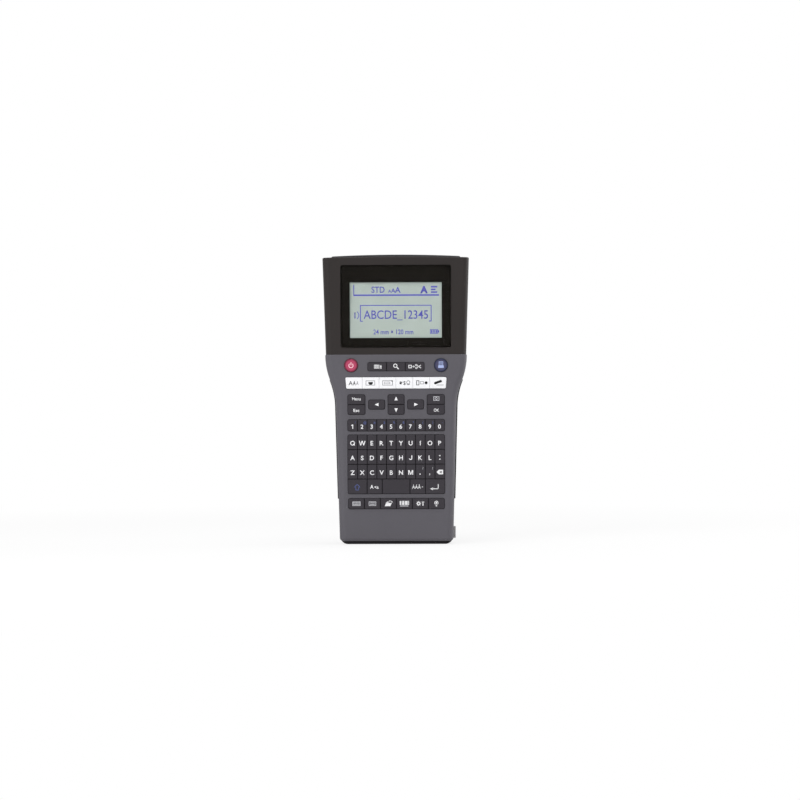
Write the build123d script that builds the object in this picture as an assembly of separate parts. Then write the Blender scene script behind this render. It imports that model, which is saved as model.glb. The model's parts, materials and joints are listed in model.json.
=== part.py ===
from build123d import *

import math
import os

# Handheld label maker, standing on its lower end: Z runs up its length, the key face looks along -Y
# and X runs to the right as the user sees it. The origin lies under the middle of the case.

# Case, outside
HEAD_TOP_WIDTH = 116.0
HEAD_SEAM_WIDTH = 111.4
BODY_SEAM_WIDTH = 112.4
BODY_TOP_WIDTH = 95.6
BODY_END_WIDTH = 90.0
HEIGHT = 230.2
HEAD_TOP_DROP = 2.3
TOP_BOW = 0.8
SEAM_Z = 150.5
SHOULDER_FOOT_Z = 108.0
FRONT_FOOT_Z = 2.8
DEPTH = 57.0
GRIP_DEPTH = 36.0
FRONT_SHELL_DEPTH = 9.2
HEAD_TILT = 4.0
SEAM_STEP = 0.6
SEAM_CHAMFER = 0.5
SIDE_ROUND = 5.0
FOOT_ROUND = 2.4
HEAD_TOP_ROUND = 0.9
WALL = 2.2
HEAD_FACE_WALL = 3.0
REAR_INSET = 0.3
REAR_TOP_DROP = 3.5
REAR_ROUND = 3.0
BASE_CORNER = 6.0
REAR_BEND_FOOT_Z = 84.0
REAR_BEND_TOP_Z = 128.0

# Back cover, its hinge bead, hooks, lever and viewer
COVER_FOOT_Z = 10.0
COVER_MARGIN = 5.0
COVER_GAP = 0.35
COVER_CORNER = 4.0
COVER_LEDGE = 1.2
BAY_WALL = 1.2
HOOK_X = 32.0
HOOK_WIDTH = 8.0
HOOK_REACH = 3.0
HOOK_DROP = 4.0
HOOK_THICK = 1.2
LEVER_WIDTH = 26.0
LEVER_HEIGHT = 15.0
LEVER_TOP_GAP = 2.2
LEVER_PLAY = 0.4
LEVER_PIN_R = 1.1
LEVER_PIN_REACH = 1.8
LEVER_RIDGES = 3
LEVER_RIDGE = 0.5
RUNNING_FIT = 0.05
VIEWER_X = 4.0
VIEWER_Z = 170.0
VIEWER_WIDTH = 34.0
VIEWER_HEIGHT = 15.0
VIEWER_LIP = 1.4
VIEWER_THICK = 1.4
VIEWER_CORNER = 2.0

# Side grips
GRIP_FOOT_Z = 36.0
GRIP_TOP_Z = 130.9
GRIP_PROUD = 0.9
GRIP_SUNK = 1.0
GRIP_WIDTH = 18.0
GRIP_FRONT_GAP = 0.6
GRIP_ROUND = 0.6
GRIP_GROOVE = 0.5
GRIP_GROOVE_PITCH = 4.5
GRIP_GROOVE_WIDTH = 1.2

# Screws and their bosses
SCREW_R = 1.3
SCREW_LENGTH = 9.0
SCREW_HEAD_R = 2.5
SCREW_HEAD = 1.8
SCREW_PLAY = 0.2
SCREW_RECESS_R = 1.0
SCREW_RECESS = 0.9
BOSS_R = 3.0
WELL_R = 4.2
FOOT_SCREW = (27.0, 14.5)
SHOULDER_SCREW = (44.4, 136.5)
HEAD_SCREW_X = 47.5
HEAD_SCREW_DROP = 11.7

# Display
WINDOW_WIDTH = 87.4
WINDOW_FOOT_MARGIN = 5.4
WINDOW_TOP_MARGIN = 6.0
WINDOW_CORNER = 2.0
WINDOW_THICK = 1.6
WINDOW_SUNK = 0.3
WINDOW_PLAY = 0.15
WINDOW_LEDGE = 2.5
LCD_MARGIN = 0.9
LCD_THICK = 2.0
BACKLIGHT_THICK = 3.0
CLIP_WIDTH = 7.0
CLIP_THICK = 1.4
CLIP_LIP = 1.0
CLIP_RISE = 13.0

# Keys
KEY_PROUD = 0.9
KEY_TRAVEL = 1.0
KEY_REACH = 4.0
KEY_GAP = 0.36
WHITE_BAR_GAP = 0.12
KEY_PLAY = 0.3
KEY_CHAMFER = 0.35
GROUP_CORNER = 1.3
ROUND_KEY_R = 5.3
ROUND_KEY_X = 35.6
ROUND_KEY_Z = 142.0
TOP_BAR_WIDTH = 44.6
TOP_BAR_HEIGHT = 6.7
TOP_BAR_Z = 140.9
WHITE_BAR_TOP_WIDTH = 80.2
WHITE_BAR_FOOT_WIDTH = 78.8
WHITE_BAR_HEIGHT = 9.0
WHITE_BAR_CORNER = 1.1
WHITE_BAR_Z = 128.0
PAIR_WIDTH = 13.6
MIDDLE_PAIR_WIDTH = 12.8
PAIR_HEIGHT = 15.6
PAIR_X = 31.4
ARROW_WIDTH = 12.8
ARROW_HEIGHT = 7.3
ARROW_X = 15.4
CURSOR_Z = 110.9
BLOCK_WIDTH = 76.6
NUMBER_HEIGHT = 9.1
NUMBER_Z = 94.5
LETTER_PITCH = 11.65
LETTER_ROWS = 4
LETTER_Z = 63.6
COLUMNS = 10
EDIT_SHARES = (15.2, 12.0, 21.9, 12.2, 15.3)
FUNCTION_WIDTH = 75.9
FUNCTION_HEIGHT = 8.2
FUNCTION_Z = 32.5
FUNCTION_COLUMNS = 6

# Key mat and main board
DOME_REST = 0.6
DOME_TOP = 2.6
DOME_FOOT = 4.2
MAT_SHEET = 1.0
MAT_MARGIN = 1.6
BOARD_THICK = 1.6
BOARD_WIDTH = 75.0
BOARD_FOOT_Z = 21.0
BOARD_TOP_Z = 148.5
BOARD_TAB_X = 31.6
BOARD_TAB_TOP_Z = 30.0
BOARD_EDGE_GAP = 0.6
POST_R = 1.7
UPPER_POST = (23.0, 121.0)
LOWER_POST = (29.5, 24.0)
CHIP_HEIGHT = 1.6
CHIP_SIZE = 14.0
CHIP_Z = 72.0
MEMORY_SIZE = (9.0, 12.0)
MEMORY_Z = 96.0
COMPONENT_ROOM = 7.0

# Sockets on the right side
JACK_BODY = (8.0, 10.6)
JACK_LENGTH = 12.6
JACK_NOSE_R = 4.7
JACK_PROUD = 2.0
JACK_BORE_R = 3.15
JACK_BORE_DEPTH = 9.5
JACK_PIN_R = 1.0
JACK_RISE = 6.3
SOCKET_PLAY = 0.15
USB_Z = 23.4
USB_WIDTH = 7.7
USB_HEIGHT = 4.0
USB_LENGTH = 9.0
USB_SHELL = 0.4
USB_TONGUE = 0.9
USB_SUNK = 0.6

# Cells and contacts
CELL_R = 7.25
CELL_LENGTH = 50.5
CELL_NUB = 1.0
CELL_NUB_R = 2.75
CELL_PITCH = 15.5
CELL_COLUMNS = 3
CELL_FOOT_Z = 16.2
CELL_FLOOR_GAP = 0.4
CONTACT_WIDTH = 11.0
CONTACT_THICK = 0.4
CONTACT_SPRING = 3.6
CONTACT_NOSE = 4.0
BAY_FLOOR = 2.0
RIB_THICK = 1.4
RIB_HEIGHT = 4.0
END_WALL = 1.5
END_WALL_HEIGHT = 11.0

# Tape cassette and print line
CASSETTE_LEFT_X = -24.0
CASSETTE_WIDTH = 58.0
CASSETTE_FOOT_Z = 130.6
CASSETTE_HEIGHT = 79.4
CASSETTE_COVER_GAP = 4.8
CASSETTE_WALL = 1.2
CASSETTE_CORNER = 4.0
CASSETTE_GAP = 0.5
NOTCH_WIDTH = 5.0
NOTCH_HEIGHT = 28.0
ROLL_R = 20.0
ROLL_CORE_R = 7.0
ROLL_X = 12.0
ROLL_Z = 160.0
TAPE_SIDE_GAP = 0.54
TAPE_THICK = 0.25
TAPE_X = -25.5
TAPE_PLAY = 0.12
TAPE_SLOT = 3.4
PRINT_Z = 180.0
DIVIDER = 1.6
PARTITION = 2.0

# Feed drive
MODULE = 0.6
TOOTH_TIP = 0.75
TOOTH_ROOT = 1.15
TOOTH_PLAY = 0.12
PRESSURE_ANGLE = 20.0
PINION_TEETH = 12
REDUCTION_TEETH = 48
REDUCTION_PINION_TEETH = 14
IDLER_TEETH = 48
PLATEN_TEETH = 20
SPINDLE_TEETH = 24
GEAR_WIDTH = 2.2
GEAR_GAP = 0.4
GEAR_PIN_R = 1.5
MOTOR_X = -34.0
MOTOR_Z = 149.0
MOTOR_R = 9.0
MOTOR_LENGTH = 22.0
MOTOR_FLAT = 7.5
MOTOR_SHAFT_R = 1.0
PLATEN_R = 4.5
PLATEN_SHAFT_R = 1.5
IDLER_ANGLE = -10.0
SPINDLE_ANGLE = 50.0
SPINDLE_R = 3.0
SPINDLE_SPLINES = 6
SPINDLE_REACH = 20.0
CORE_HOLE_R = 5.2
MECH_PLATE = 1.2
MECH_MARGIN = 4.0
STANDOFF_R = 2.2
HOLDER_PIVOT_X = -30.5
HOLDER_PIVOT_Z = 205.0
HOLDER_PIN_R = 2.0
HOLDER_SHEET = 1.0
HOLDER_EAR_R = 4.0
HOLDER_BACK_X = -43.2
HOLDER_BACK_FOOT_Z = 172.0
HOLDER_SWING = 7.0
RELEASE_X = -45.8
RELEASE_Z = 160.0
RELEASE_HUB_R = 2.7
RELEASE_PIN_R = 1.4
RELEASE_ARM = 14.0
RELEASE_ARM_WIDTH = 5.4
RELEASE_ARM_THICK = 2.2
PRINT_HEAD_THICK = 2.0
PRINT_HEAD_HEIGHT = 22.0
PRINT_HEAD_FOOT = 3.0
PRINT_HEAD_FINS = 3

# Cutter
BLADE_THICK = 0.8
BLADE_GAP = 0.1
BLADE_WIDTH = 5.0
BLADE_SEAT_Z = 214.5
BLADE_OVERLAP = 0.3
BLADE_BED = 8.0
BLADE_OPEN = 10.0
BLADE_PIVOT_DROP = 5.0
BLADE_PIVOT_R = 1.6
BLADE_HUB_R = 3.5
SECTOR_TEETH = 30
SECTOR_SPAN = 66.0
SECTOR_THICK = 2.0
CUTTER_MOTOR_R = 5.4
CUTTER_MOTOR_LENGTH = 14.5
CUTTER_MOTOR_GAP = 0.4

# Tape exit cap on the top end
EXIT_CAP_WIDTH = 103.0
EXIT_CAP_BOW = 1.3
EXIT_CAP_SUNK = 1.1
EXIT_CAP_FRONT_GAP = 1.5
EXIT_CAP_REAR_MARGIN = 4.0436
EXIT_CAP_CORNER = 1.6
EXIT_CAP_ROUND = 1.0

# Places worked out from the sizes above
HEAD_CORNER_Z = HEIGHT - HEAD_TOP_DROP - TOP_BOW
REAR_TOP_Z = HEIGHT - REAR_TOP_DROP
HEAD_SCREW = (HEAD_SCREW_X, HEIGHT - HEAD_SCREW_DROP)
TILT_TAN = math.tan(math.radians(HEAD_TILT))
HEAD_FACE_Y = -DEPTH / 2 + (HEAD_CORNER_Z - SEAM_Z) * TILT_TAN
KEY_FACE_Y = HEAD_FACE_Y - SEAM_STEP
PARTING_Y = KEY_FACE_Y + FRONT_SHELL_DEPTH
GRIP_REAR_Y = KEY_FACE_Y + GRIP_DEPTH
HEAD_REAR_Y = DEPTH / 2
KEY_FRONT_Y = KEY_FACE_Y - KEY_PROUD
KEY_BACK_Y = KEY_FACE_Y + KEY_REACH
MAT_FRONT_Y = KEY_BACK_Y + KEY_TRAVEL + DOME_REST
BOARD_FRONT_Y = MAT_FRONT_Y + MAT_SHEET
BOARD_TAB_FOOT_Z = FRONT_FOOT_Z + WALL + BOARD_EDGE_GAP
JACK_Z = FRONT_FOOT_Z + WALL + SOCKET_PLAY + JACK_BODY[0] / 2
BOARD_BACK_Y = BOARD_FRONT_Y + BOARD_THICK
FLOOR_FRONT_Y = BOARD_BACK_Y + COMPONENT_ROOM
FLOOR_BACK_Y = FLOOR_FRONT_Y + BAY_FLOOR
CELL_Y = FLOOR_BACK_Y + CELL_FLOOR_GAP + CELL_R
CASSETTE_FRONT_Y = FLOOR_BACK_Y + CASSETTE_GAP
CASSETTE_BACK_Y = HEAD_REAR_Y - WALL - CASSETTE_COVER_GAP
TAPE_WIDTH = CASSETTE_BACK_Y - CASSETTE_FRONT_Y - 2 * (CASSETTE_WALL + TAPE_SIDE_GAP)
CASSETTE_TOP_Z = CASSETTE_FOOT_Z + CASSETTE_HEIGHT
PARTITION_Z = CASSETTE_TOP_Z + COVER_LEDGE + CASSETTE_GAP
DIVIDER_Z = CASSETTE_FOOT_Z - CASSETTE_GAP - DIVIDER
COVER_TOP_Z = PARTITION_Z
TAPE_MID_Y = (CASSETTE_FRONT_Y + CASSETTE_BACK_Y) / 2
TAPE_FRONT_Y = TAPE_MID_Y - TAPE_WIDTH / 2
TAPE_BACK_Y = TAPE_MID_Y + TAPE_WIDTH / 2
NIP_LEFT_X = TAPE_X - TAPE_THICK / 2 - TAPE_PLAY
NIP_RIGHT_X = TAPE_X + TAPE_THICK / 2 + TAPE_PLAY
UPPER_GEARS_BACK_Y = FLOOR_FRONT_Y - GEAR_GAP
UPPER_GEARS_FRONT_Y = UPPER_GEARS_BACK_Y - GEAR_WIDTH
LOWER_GEARS_FRONT_Y = UPPER_GEARS_FRONT_Y - GEAR_WIDTH
MECH_PLATE_BACK_Y = LOWER_GEARS_FRONT_Y - GEAR_GAP / 2
MECH_PLATE_FRONT_Y = MECH_PLATE_BACK_Y - MECH_PLATE
COVER_HINGE = (GRIP_REAR_Y - WALL / 2, COVER_FOOT_Z + WALL / 2)
LEVER_TOP_Z = COVER_TOP_Z - COVER_GAP - LEVER_TOP_GAP
LEVER_Z = LEVER_TOP_Z - LEVER_HEIGHT / 2
LEVER_AXIS_Y = HEAD_REAR_Y - WALL
CLEAR = 60.0
PAST = 1.0


def pitch_radius(teeth):
    """Pitch radius of a feed or cutter gear."""
    return MODULE * teeth / 2


def polar(centre, radius, degrees):
    """Point at a distance and angle from a centre."""
    turn = math.radians(degrees)
    return (centre[0] + radius * math.cos(turn), centre[1] + radius * math.sin(turn))


def bearing(start, end):
    """Angle in degrees of the line from one point to another."""
    return math.degrees(math.atan2(end[1] - start[1], end[0] - start[0]))


def meeting_point(first, first_reach, second, second_reach):
    """Point at both reaches from two centres, on the right of the line between them."""
    run = math.dist(first, second)
    along = (first_reach**2 - second_reach**2 + run**2) / (2 * run)
    across = math.sqrt(first_reach**2 - along**2)
    foot = polar(first, along, bearing(first, second))
    return polar(foot, across, bearing(first, second) - 90)


def meshed_phase(centre, phase, teeth, other, other_teeth):
    """Angle of a tooth on the other gear that sets its gaps over this gear's teeth."""
    heading = bearing(centre, other)
    share = (heading - phase) / (360 / teeth)
    return heading + 180 - (360 / other_teeth) * (0.5 - share)


# Gear centres as (X, Z) in the feed drive and (X, Y) in the cutter
FEED_MOTOR = (MOTOR_X, MOTOR_Z)
PLATEN = (NIP_LEFT_X - PLATEN_R, PRINT_Z)
IDLER = polar(PLATEN, pitch_radius(IDLER_TEETH) + pitch_radius(PLATEN_TEETH), IDLER_ANGLE)
REDUCTION = meeting_point(
    FEED_MOTOR,
    pitch_radius(PINION_TEETH) + pitch_radius(REDUCTION_TEETH),
    IDLER,
    pitch_radius(REDUCTION_PINION_TEETH) + pitch_radius(IDLER_TEETH),
)
SPINDLE = polar(IDLER, pitch_radius(IDLER_TEETH) + pitch_radius(SPINDLE_TEETH), SPINDLE_ANGLE)
HOLDER_PIVOT = (HOLDER_PIVOT_X, HOLDER_PIVOT_Z)
RELEASE = (RELEASE_X, RELEASE_Z)
BLADE_EDGE_X = NIP_RIGHT_X + BLADE_OVERLAP
BLADE_PIVOT = (BLADE_EDGE_X - BLADE_WIDTH / 2, TAPE_FRONT_Y - BLADE_PIVOT_DROP)
CUTTER_REACH = pitch_radius(SECTOR_TEETH) + pitch_radius(PINION_TEETH)
CUTTER_MOTOR_Y = CASSETTE_FRONT_Y - CUTTER_MOTOR_GAP - CUTTER_MOTOR_R
CUTTER_ANGLE = math.degrees(math.asin((CUTTER_MOTOR_Y - BLADE_PIVOT[1]) / CUTTER_REACH))
CUTTER_MOTOR = polar(BLADE_PIVOT, CUTTER_REACH, CUTTER_ANGLE)
HEAD_FACE = Plane(
    origin=(0, HEAD_FACE_Y, SEAM_Z),
    x_dir=(1, 0, 0),
    z_dir=(0, -math.cos(math.radians(HEAD_TILT)), -math.sin(math.radians(HEAD_TILT))),
)
HEAD_FACE_LENGTH = (HEAD_CORNER_Z - SEAM_Z) / math.cos(math.radians(HEAD_TILT))
WINDOW_HEIGHT = HEAD_FACE_LENGTH - WINDOW_FOOT_MARGIN - WINDOW_TOP_MARGIN
WINDOW_RISE = WINDOW_FOOT_MARGIN + WINDOW_HEIGHT / 2


def slab(face, front_y, back_y):
    """Extrude an outline drawn in the front view between two depths."""
    return extrude(Plane.XZ.offset(-back_y) * face, amount=back_y - front_y)


def bar(face, left_x, right_x):
    """Extrude an outline drawn in the side view, as (Y, Z), between two sides."""
    return extrude(Plane.YZ.offset(left_x) * face, amount=right_x - left_x)


def layer(face, foot_z, top_z):
    """Extrude an outline drawn in the plan view between two heights."""
    return extrude(Plane.XY.offset(foot_z) * face, amount=top_z - foot_z)


def on_head(face, sunk, thick):
    """Extrude an outline drawn on the tilted head face, from a depth behind it."""
    return extrude(HEAD_FACE.offset(-sunk) * face, amount=-thick)


def block(x_range, y_range, z_range):
    """Box between two limits on each axis."""
    size = [high - low for low, high in (x_range, y_range, z_range)]
    middle = [(high + low) / 2 for low, high in (x_range, y_range, z_range)]
    return Pos(*middle) * Box(*size)


def disc(centre, radius, front_y, back_y):
    """Cylinder along the depth at a point of the front view."""
    return slab(Pos(*centre) * Circle(radius), front_y, back_y)


def both_sides(place):
    """A place and its mirror image on the left side."""
    return [place, (-place[0], place[1])]


def s_bend(start, end, heading):
    """Two equal tangent arcs that leave and arrive along the same heading."""
    middle = ((start[0] + end[0]) / 2, (start[1] + end[1]) / 2)
    back = (-heading[0], -heading[1])
    return [TangentArc(start, middle, tangent=heading), TangentArc(end, middle, tangent=back)]


def case_outline(foot_z, top_z, inset=0.0, bow=0.0, seam_width=HEAD_SEAM_WIDTH):
    """Front view of the case between two heights, its sides moved in by an inset."""
    end_half = BODY_END_WIDTH / 2 - inset
    body_half = BODY_TOP_WIDTH / 2 - inset
    seam_half = seam_width / 2 - inset
    top_half = HEAD_TOP_WIDTH / 2 - inset
    rise = (top_z - SEAM_Z) / (HEAD_CORNER_Z - SEAM_Z)
    top_half = seam_half + (top_half - seam_half) * rise
    fall = (SHOULDER_FOOT_Z - foot_z) / (SHOULDER_FOOT_Z - FRONT_FOOT_Z)
    foot_half = body_half + (end_half - body_half) * fall
    edges = []
    for side in (-1, 1):
        if foot_z < SHOULDER_FOOT_Z:
            edges.append(Line((side * foot_half, foot_z), (side * body_half, SHOULDER_FOOT_Z)))
            edges += s_bend((side * body_half, SHOULDER_FOOT_Z), (side * seam_half, SEAM_Z), (0, 1))
        if top_z > SEAM_Z:
            edges.append(Line((side * seam_half, SEAM_Z), (side * top_half, top_z)))
    low_half = foot_half if foot_z < SHOULDER_FOOT_Z else seam_half
    high_half = top_half if top_z > SEAM_Z else seam_half
    edges.append(Line((-low_half, foot_z), (low_half, foot_z)))
    if bow:
        edges.append(ThreePointArc((-high_half, top_z), (0, top_z + bow), (high_half, top_z)))
    else:
        edges.append(Line((-high_half, top_z), (high_half, top_z)))
    return make_face(edges)


def rear_profile(inset=0.0):
    """Side view of the rear half: a flat grip, a bend and the thicker head."""
    front_y = PARTING_Y - (CLEAR if inset else 0)
    foot_y = GRIP_REAR_Y - inset
    head_y = HEAD_REAR_Y - inset
    edges = [
        Line((front_y, inset), (foot_y, inset)),
        Line((foot_y, inset), (foot_y, REAR_BEND_FOOT_Z)),
        *s_bend((foot_y, REAR_BEND_FOOT_Z), (head_y, REAR_BEND_TOP_Z), (0, 1)),
        Line((head_y, REAR_BEND_TOP_Z), (head_y, REAR_TOP_Z - inset)),
        Line((head_y, REAR_TOP_Z - inset), (front_y, REAR_TOP_Z - inset)),
        Line((front_y, REAR_TOP_Z - inset), (front_y, inset)),
    ]
    return make_face(edges)


def behind_rear(inset):
    """Everything inside the rear profile moved in by an inset."""
    return bar(rear_profile(inset), -CLEAR * 2, CLEAR * 2)


def rear_block():
    """Outside of the rear half, with its corners and rear edges rounded."""
    outline = case_outline(0, REAR_TOP_Z, REAR_INSET)
    solid = slab(outline, PARTING_Y, DEPTH) & bar(rear_profile(), -CLEAR * 2, CLEAR * 2)
    upright = solid.edges().filter_by(Axis.Y)
    solid = fillet(upright.group_by(Axis.Z)[0], BASE_CORNER)
    upright = solid.edges().filter_by(Axis.Y)
    solid = fillet(upright.group_by(Axis.Z)[-1], REAR_ROUND)
    rear_edges = [edge for edge in solid.edges() if edge.bounding_box().min.Y > GRIP_REAR_Y - 0.1]
    outer = [edge for edge in rear_edges if not is_inner_cross_edge(edge)]
    return fillet(outer, REAR_ROUND)


def is_inner_cross_edge(edge):
    """True for the smooth lines that run across the rear between foot and top."""
    box = edge.bounding_box()
    return box.size.Z < 0.01 and 1 < box.min.Z < REAR_TOP_Z - 1


def key_cells():
    """Every key as (node, outlines), and the outline that each group of keys shares."""
    nodes = {}
    groups = []
    for name, side in (("key_power", -1), ("key_print", 1)):
        face = Pos(side * ROUND_KEY_X, ROUND_KEY_Z) * Circle(ROUND_KEY_R)
        nodes[name] = [face]
        groups.append(face)
    top_bar = Pos(0, TOP_BAR_Z) * RectangleRounded(TOP_BAR_WIDTH, TOP_BAR_HEIGHT, GROUP_CORNER)
    groups.append(top_bar)
    top_names = ("key_preview", "key_zoom", "key_feed")
    for name, cell in zip(top_names, row_cells(top_bar, [TOP_BAR_WIDTH / 3] * 3)):
        nodes[name] = [cell]
    white_bar = white_bar_outline()
    groups.append(white_bar)
    white_names = ("key_font", "key_size", "key_width", "key_style", "key_frame", "key_align")
    shares = [WHITE_BAR_TOP_WIDTH / len(white_names)] * len(white_names)
    for name, cell in zip(white_names, row_cells(white_bar, shares, WHITE_BAR_GAP)):
        nodes[name] = [cell]
    pair_names = (("key_escape", "key_menu"), ("key_down", "key_up"), ("key_ok", "key_cancel"))
    for names, x in zip(pair_names, (-PAIR_X, 0, PAIR_X)):
        width = PAIR_WIDTH if x else MIDDLE_PAIR_WIDTH
        pair = Pos(x, CURSOR_Z) * RectangleRounded(width, PAIR_HEIGHT, GROUP_CORNER)
        groups.append(pair)
        for name, cell in zip(names, stacked_cells(pair, 2)):
            nodes[name] = [cell]
    for name, x in (("key_left", -ARROW_X), ("key_right", ARROW_X)):
        face = Pos(x, CURSOR_Z) * RectangleRounded(ARROW_WIDTH, ARROW_HEIGHT, GROUP_CORNER)
        nodes[name] = [face]
        groups.append(face)
    numbers = Pos(0, NUMBER_Z) * RectangleRounded(BLOCK_WIDTH, NUMBER_HEIGHT, GROUP_CORNER)
    groups.append(numbers)
    nodes["number_keys"] = row_cells(numbers, [BLOCK_WIDTH / COLUMNS] * COLUMNS)
    letters = Pos(0, LETTER_Z) * RectangleRounded(BLOCK_WIDTH, LETTER_ROWS * LETTER_PITCH, GROUP_CORNER)
    groups.append(letters)
    row_names = ("edit_keys", "letter_keys_lower", "letter_keys_middle", "letter_keys_upper")
    for name, row in zip(row_names, stacked_cells(letters, LETTER_ROWS)):
        shares = EDIT_SHARES if name == "edit_keys" else [BLOCK_WIDTH / COLUMNS] * COLUMNS
        nodes[name] = row_cells(row, shares)
    functions = Pos(0, FUNCTION_Z) * RectangleRounded(FUNCTION_WIDTH, FUNCTION_HEIGHT, GROUP_CORNER)
    groups.append(functions)
    nodes["function_keys"] = row_cells(functions, [FUNCTION_WIDTH / FUNCTION_COLUMNS] * FUNCTION_COLUMNS)
    return nodes, groups


def white_bar_outline():
    """Pale key bar, a little wider at its top than at its foot."""
    half_top = WHITE_BAR_TOP_WIDTH / 2
    half_foot = WHITE_BAR_FOOT_WIDTH / 2
    half_high = WHITE_BAR_HEIGHT / 2
    corners = [
        (half_top, half_high),
        (-half_top, half_high),
        (-half_foot, -half_high),
        (half_foot, -half_high),
    ]
    face = fillet(Polygon(*corners, align=None).vertices(), WHITE_BAR_CORNER)
    return Pos(0, WHITE_BAR_Z) * face


def row_cells(outline, shares, gap=KEY_GAP):
    """Cut an outline into side-by-side keys, a gap apart."""
    box = outline.bounding_box()
    scale = box.size.X / sum(shares)
    edges = [box.min.X]
    for share in shares:
        edges.append(edges[-1] + share * scale)
    middle = (box.min.Y + box.max.Y) / 2
    cells = []
    for left, right in gapped(edges, gap):
        cutter = Pos((left + right) / 2, middle) * Rectangle(right - left, box.size.Y + PAST)
        cells.append(outline & cutter)
    return cells


def stacked_cells(outline, rows):
    """Cut an outline into rows one above the other, from the lowest up."""
    box = outline.bounding_box()
    edges = [box.min.Y + box.size.Y * number / rows for number in range(rows + 1)]
    middle = (box.min.X + box.max.X) / 2
    cells = []
    for low, high in gapped(edges, KEY_GAP):
        cutter = Pos(middle, (low + high) / 2) * Rectangle(box.size.X + PAST, high - low)
        cells.append(outline & cutter)
    return cells


def gapped(edges, gap):
    """Spans between neighbouring edges, a gap apart and open at both ends."""
    lows = [edges[0] - PAST] + [edge + gap / 2 for edge in edges[1:-1]]
    highs = [edge - gap / 2 for edge in edges[1:-1]] + [edges[-1] + PAST]
    return list(zip(lows, highs))


def key_solid(face):
    """Key cap with a bevelled top, reaching back to its dome."""
    solid = slab(face, KEY_FRONT_Y, KEY_BACK_Y)
    return chamfer(solid.faces().sort_by(Axis.Y)[0].edges(), KEY_CHAMFER)


def front_case(groups):
    """Key panel with its shoulders, key openings, screw bosses and board posts."""
    outline = case_outline(FRONT_FOOT_Z, SEAM_Z, seam_width=BODY_SEAM_WIDTH)
    solid = slab(outline, KEY_FACE_Y, PARTING_Y)
    face_edges = solid.faces().sort_by(Axis.Y)[0].edges()
    solid = fillet([edge for edge in face_edges if edge.bounding_box().size.Z > 1], SIDE_ROUND)
    foot_edges = solid.faces().sort_by(Axis.Z)[0].edges()
    solid = fillet([edge for edge in foot_edges if edge.bounding_box().min.Y < PARTING_Y - 0.1], FOOT_ROUND)
    top_face = solid.faces().sort_by(Axis.Z)[-1]
    solid = chamfer(top_face.edges().filter_by(Axis.X).sort_by(Axis.Y)[0], SEAM_CHAMFER)
    hollow = case_outline(FRONT_FOOT_Z + WALL, SEAM_Z + CLEAR, WALL)
    solid -= slab(hollow, KEY_FACE_Y + WALL, PARTING_Y)
    for group in groups:
        solid -= slab(offset(group, KEY_PLAY), KEY_FACE_Y - PAST, KEY_FACE_Y + WALL + PAST)
    for place in both_sides(FOOT_SCREW) + both_sides(SHOULDER_SCREW):
        solid += disc(place, BOSS_R, KEY_FACE_Y + WALL, FLOOR_FRONT_Y)
        solid -= disc(place, SCREW_R + RUNNING_FIT, FLOOR_FRONT_Y - SCREW_LENGTH, FLOOR_FRONT_Y)
    for place in both_sides(UPPER_POST) + both_sides(LOWER_POST):
        solid += disc(place, POST_R, KEY_FACE_Y + WALL, BOARD_FRONT_Y)
    return solid - usb_opening()


def head_outline(inset=0.0):
    """Front view of the head above the seam, with its bowed top edge."""
    return case_outline(SEAM_Z, HEAD_CORNER_Z - inset, inset, TOP_BOW)


def behind_head(sunk):
    """Everything behind a plane sunk below the tilted head face."""
    return on_head(Rectangle(DEPTH * 4, HEIGHT * 4), sunk, DEPTH)


def head_cover():
    """Tilted display housing with its window recess, screw bosses and display clips."""
    solid = slab(head_outline(), -DEPTH, PARTING_Y) & behind_head(0)
    front = solid.faces().sort_by(Axis.Y)[0]
    solid = fillet([edge for edge in front.edges() if edge.bounding_box().size.Z > 10], SIDE_ROUND)
    top_face = solid.faces().sort_by(Axis.Z)[-1]
    rounded = [edge for edge in top_face.edges() if edge.bounding_box().min.Y < PARTING_Y - 0.1]
    solid = fillet(rounded, HEAD_TOP_ROUND)
    hollow = case_outline(FRONT_FOOT_Z, HEAD_CORNER_Z - WALL, WALL, TOP_BOW)
    solid -= slab(hollow, -DEPTH, PARTING_Y) & behind_head(HEAD_FACE_WALL)
    for place in both_sides(HEAD_SCREW):
        boss = disc(place, BOSS_R, -DEPTH, FLOOR_FRONT_Y)
        solid += boss & behind_head(HEAD_FACE_WALL / 2)
        solid -= disc(place, SCREW_R + RUNNING_FIT, FLOOR_FRONT_Y - SCREW_LENGTH, FLOOR_FRONT_Y)
    for side in (-1, 1):
        for rise in (WINDOW_RISE - CLIP_RISE, WINDOW_RISE + CLIP_RISE):
            solid += display_clip(side, rise)
    recess = window_outline(WINDOW_PLAY)
    solid -= on_head(recess, -PAST, PAST + WINDOW_SUNK + WINDOW_THICK)
    return solid - on_head(window_outline(-WINDOW_LEDGE), -PAST, HEAD_FACE_WALL + 2 * PAST)


def display_clip(side, rise):
    """Snap hook that holds the display stack against the head cover."""
    half = WINDOW_WIDTH / 2 - LCD_MARGIN
    stack = HEAD_FACE_WALL + LCD_THICK + BACKLIGHT_THICK
    stem = Pos(side * (half + KEY_PLAY + CLIP_THICK / 2), rise) * Rectangle(CLIP_THICK, CLIP_WIDTH)
    lip_width = CLIP_THICK + KEY_PLAY + CLIP_LIP
    lip = Pos(side * (half - CLIP_LIP + lip_width / 2), rise) * Rectangle(lip_width, CLIP_WIDTH)
    stem_start = HEAD_FACE_WALL / 2 + PAST
    return on_head(stem, stem_start, stack - stem_start) + on_head(lip, stack, CLIP_THICK)


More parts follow.
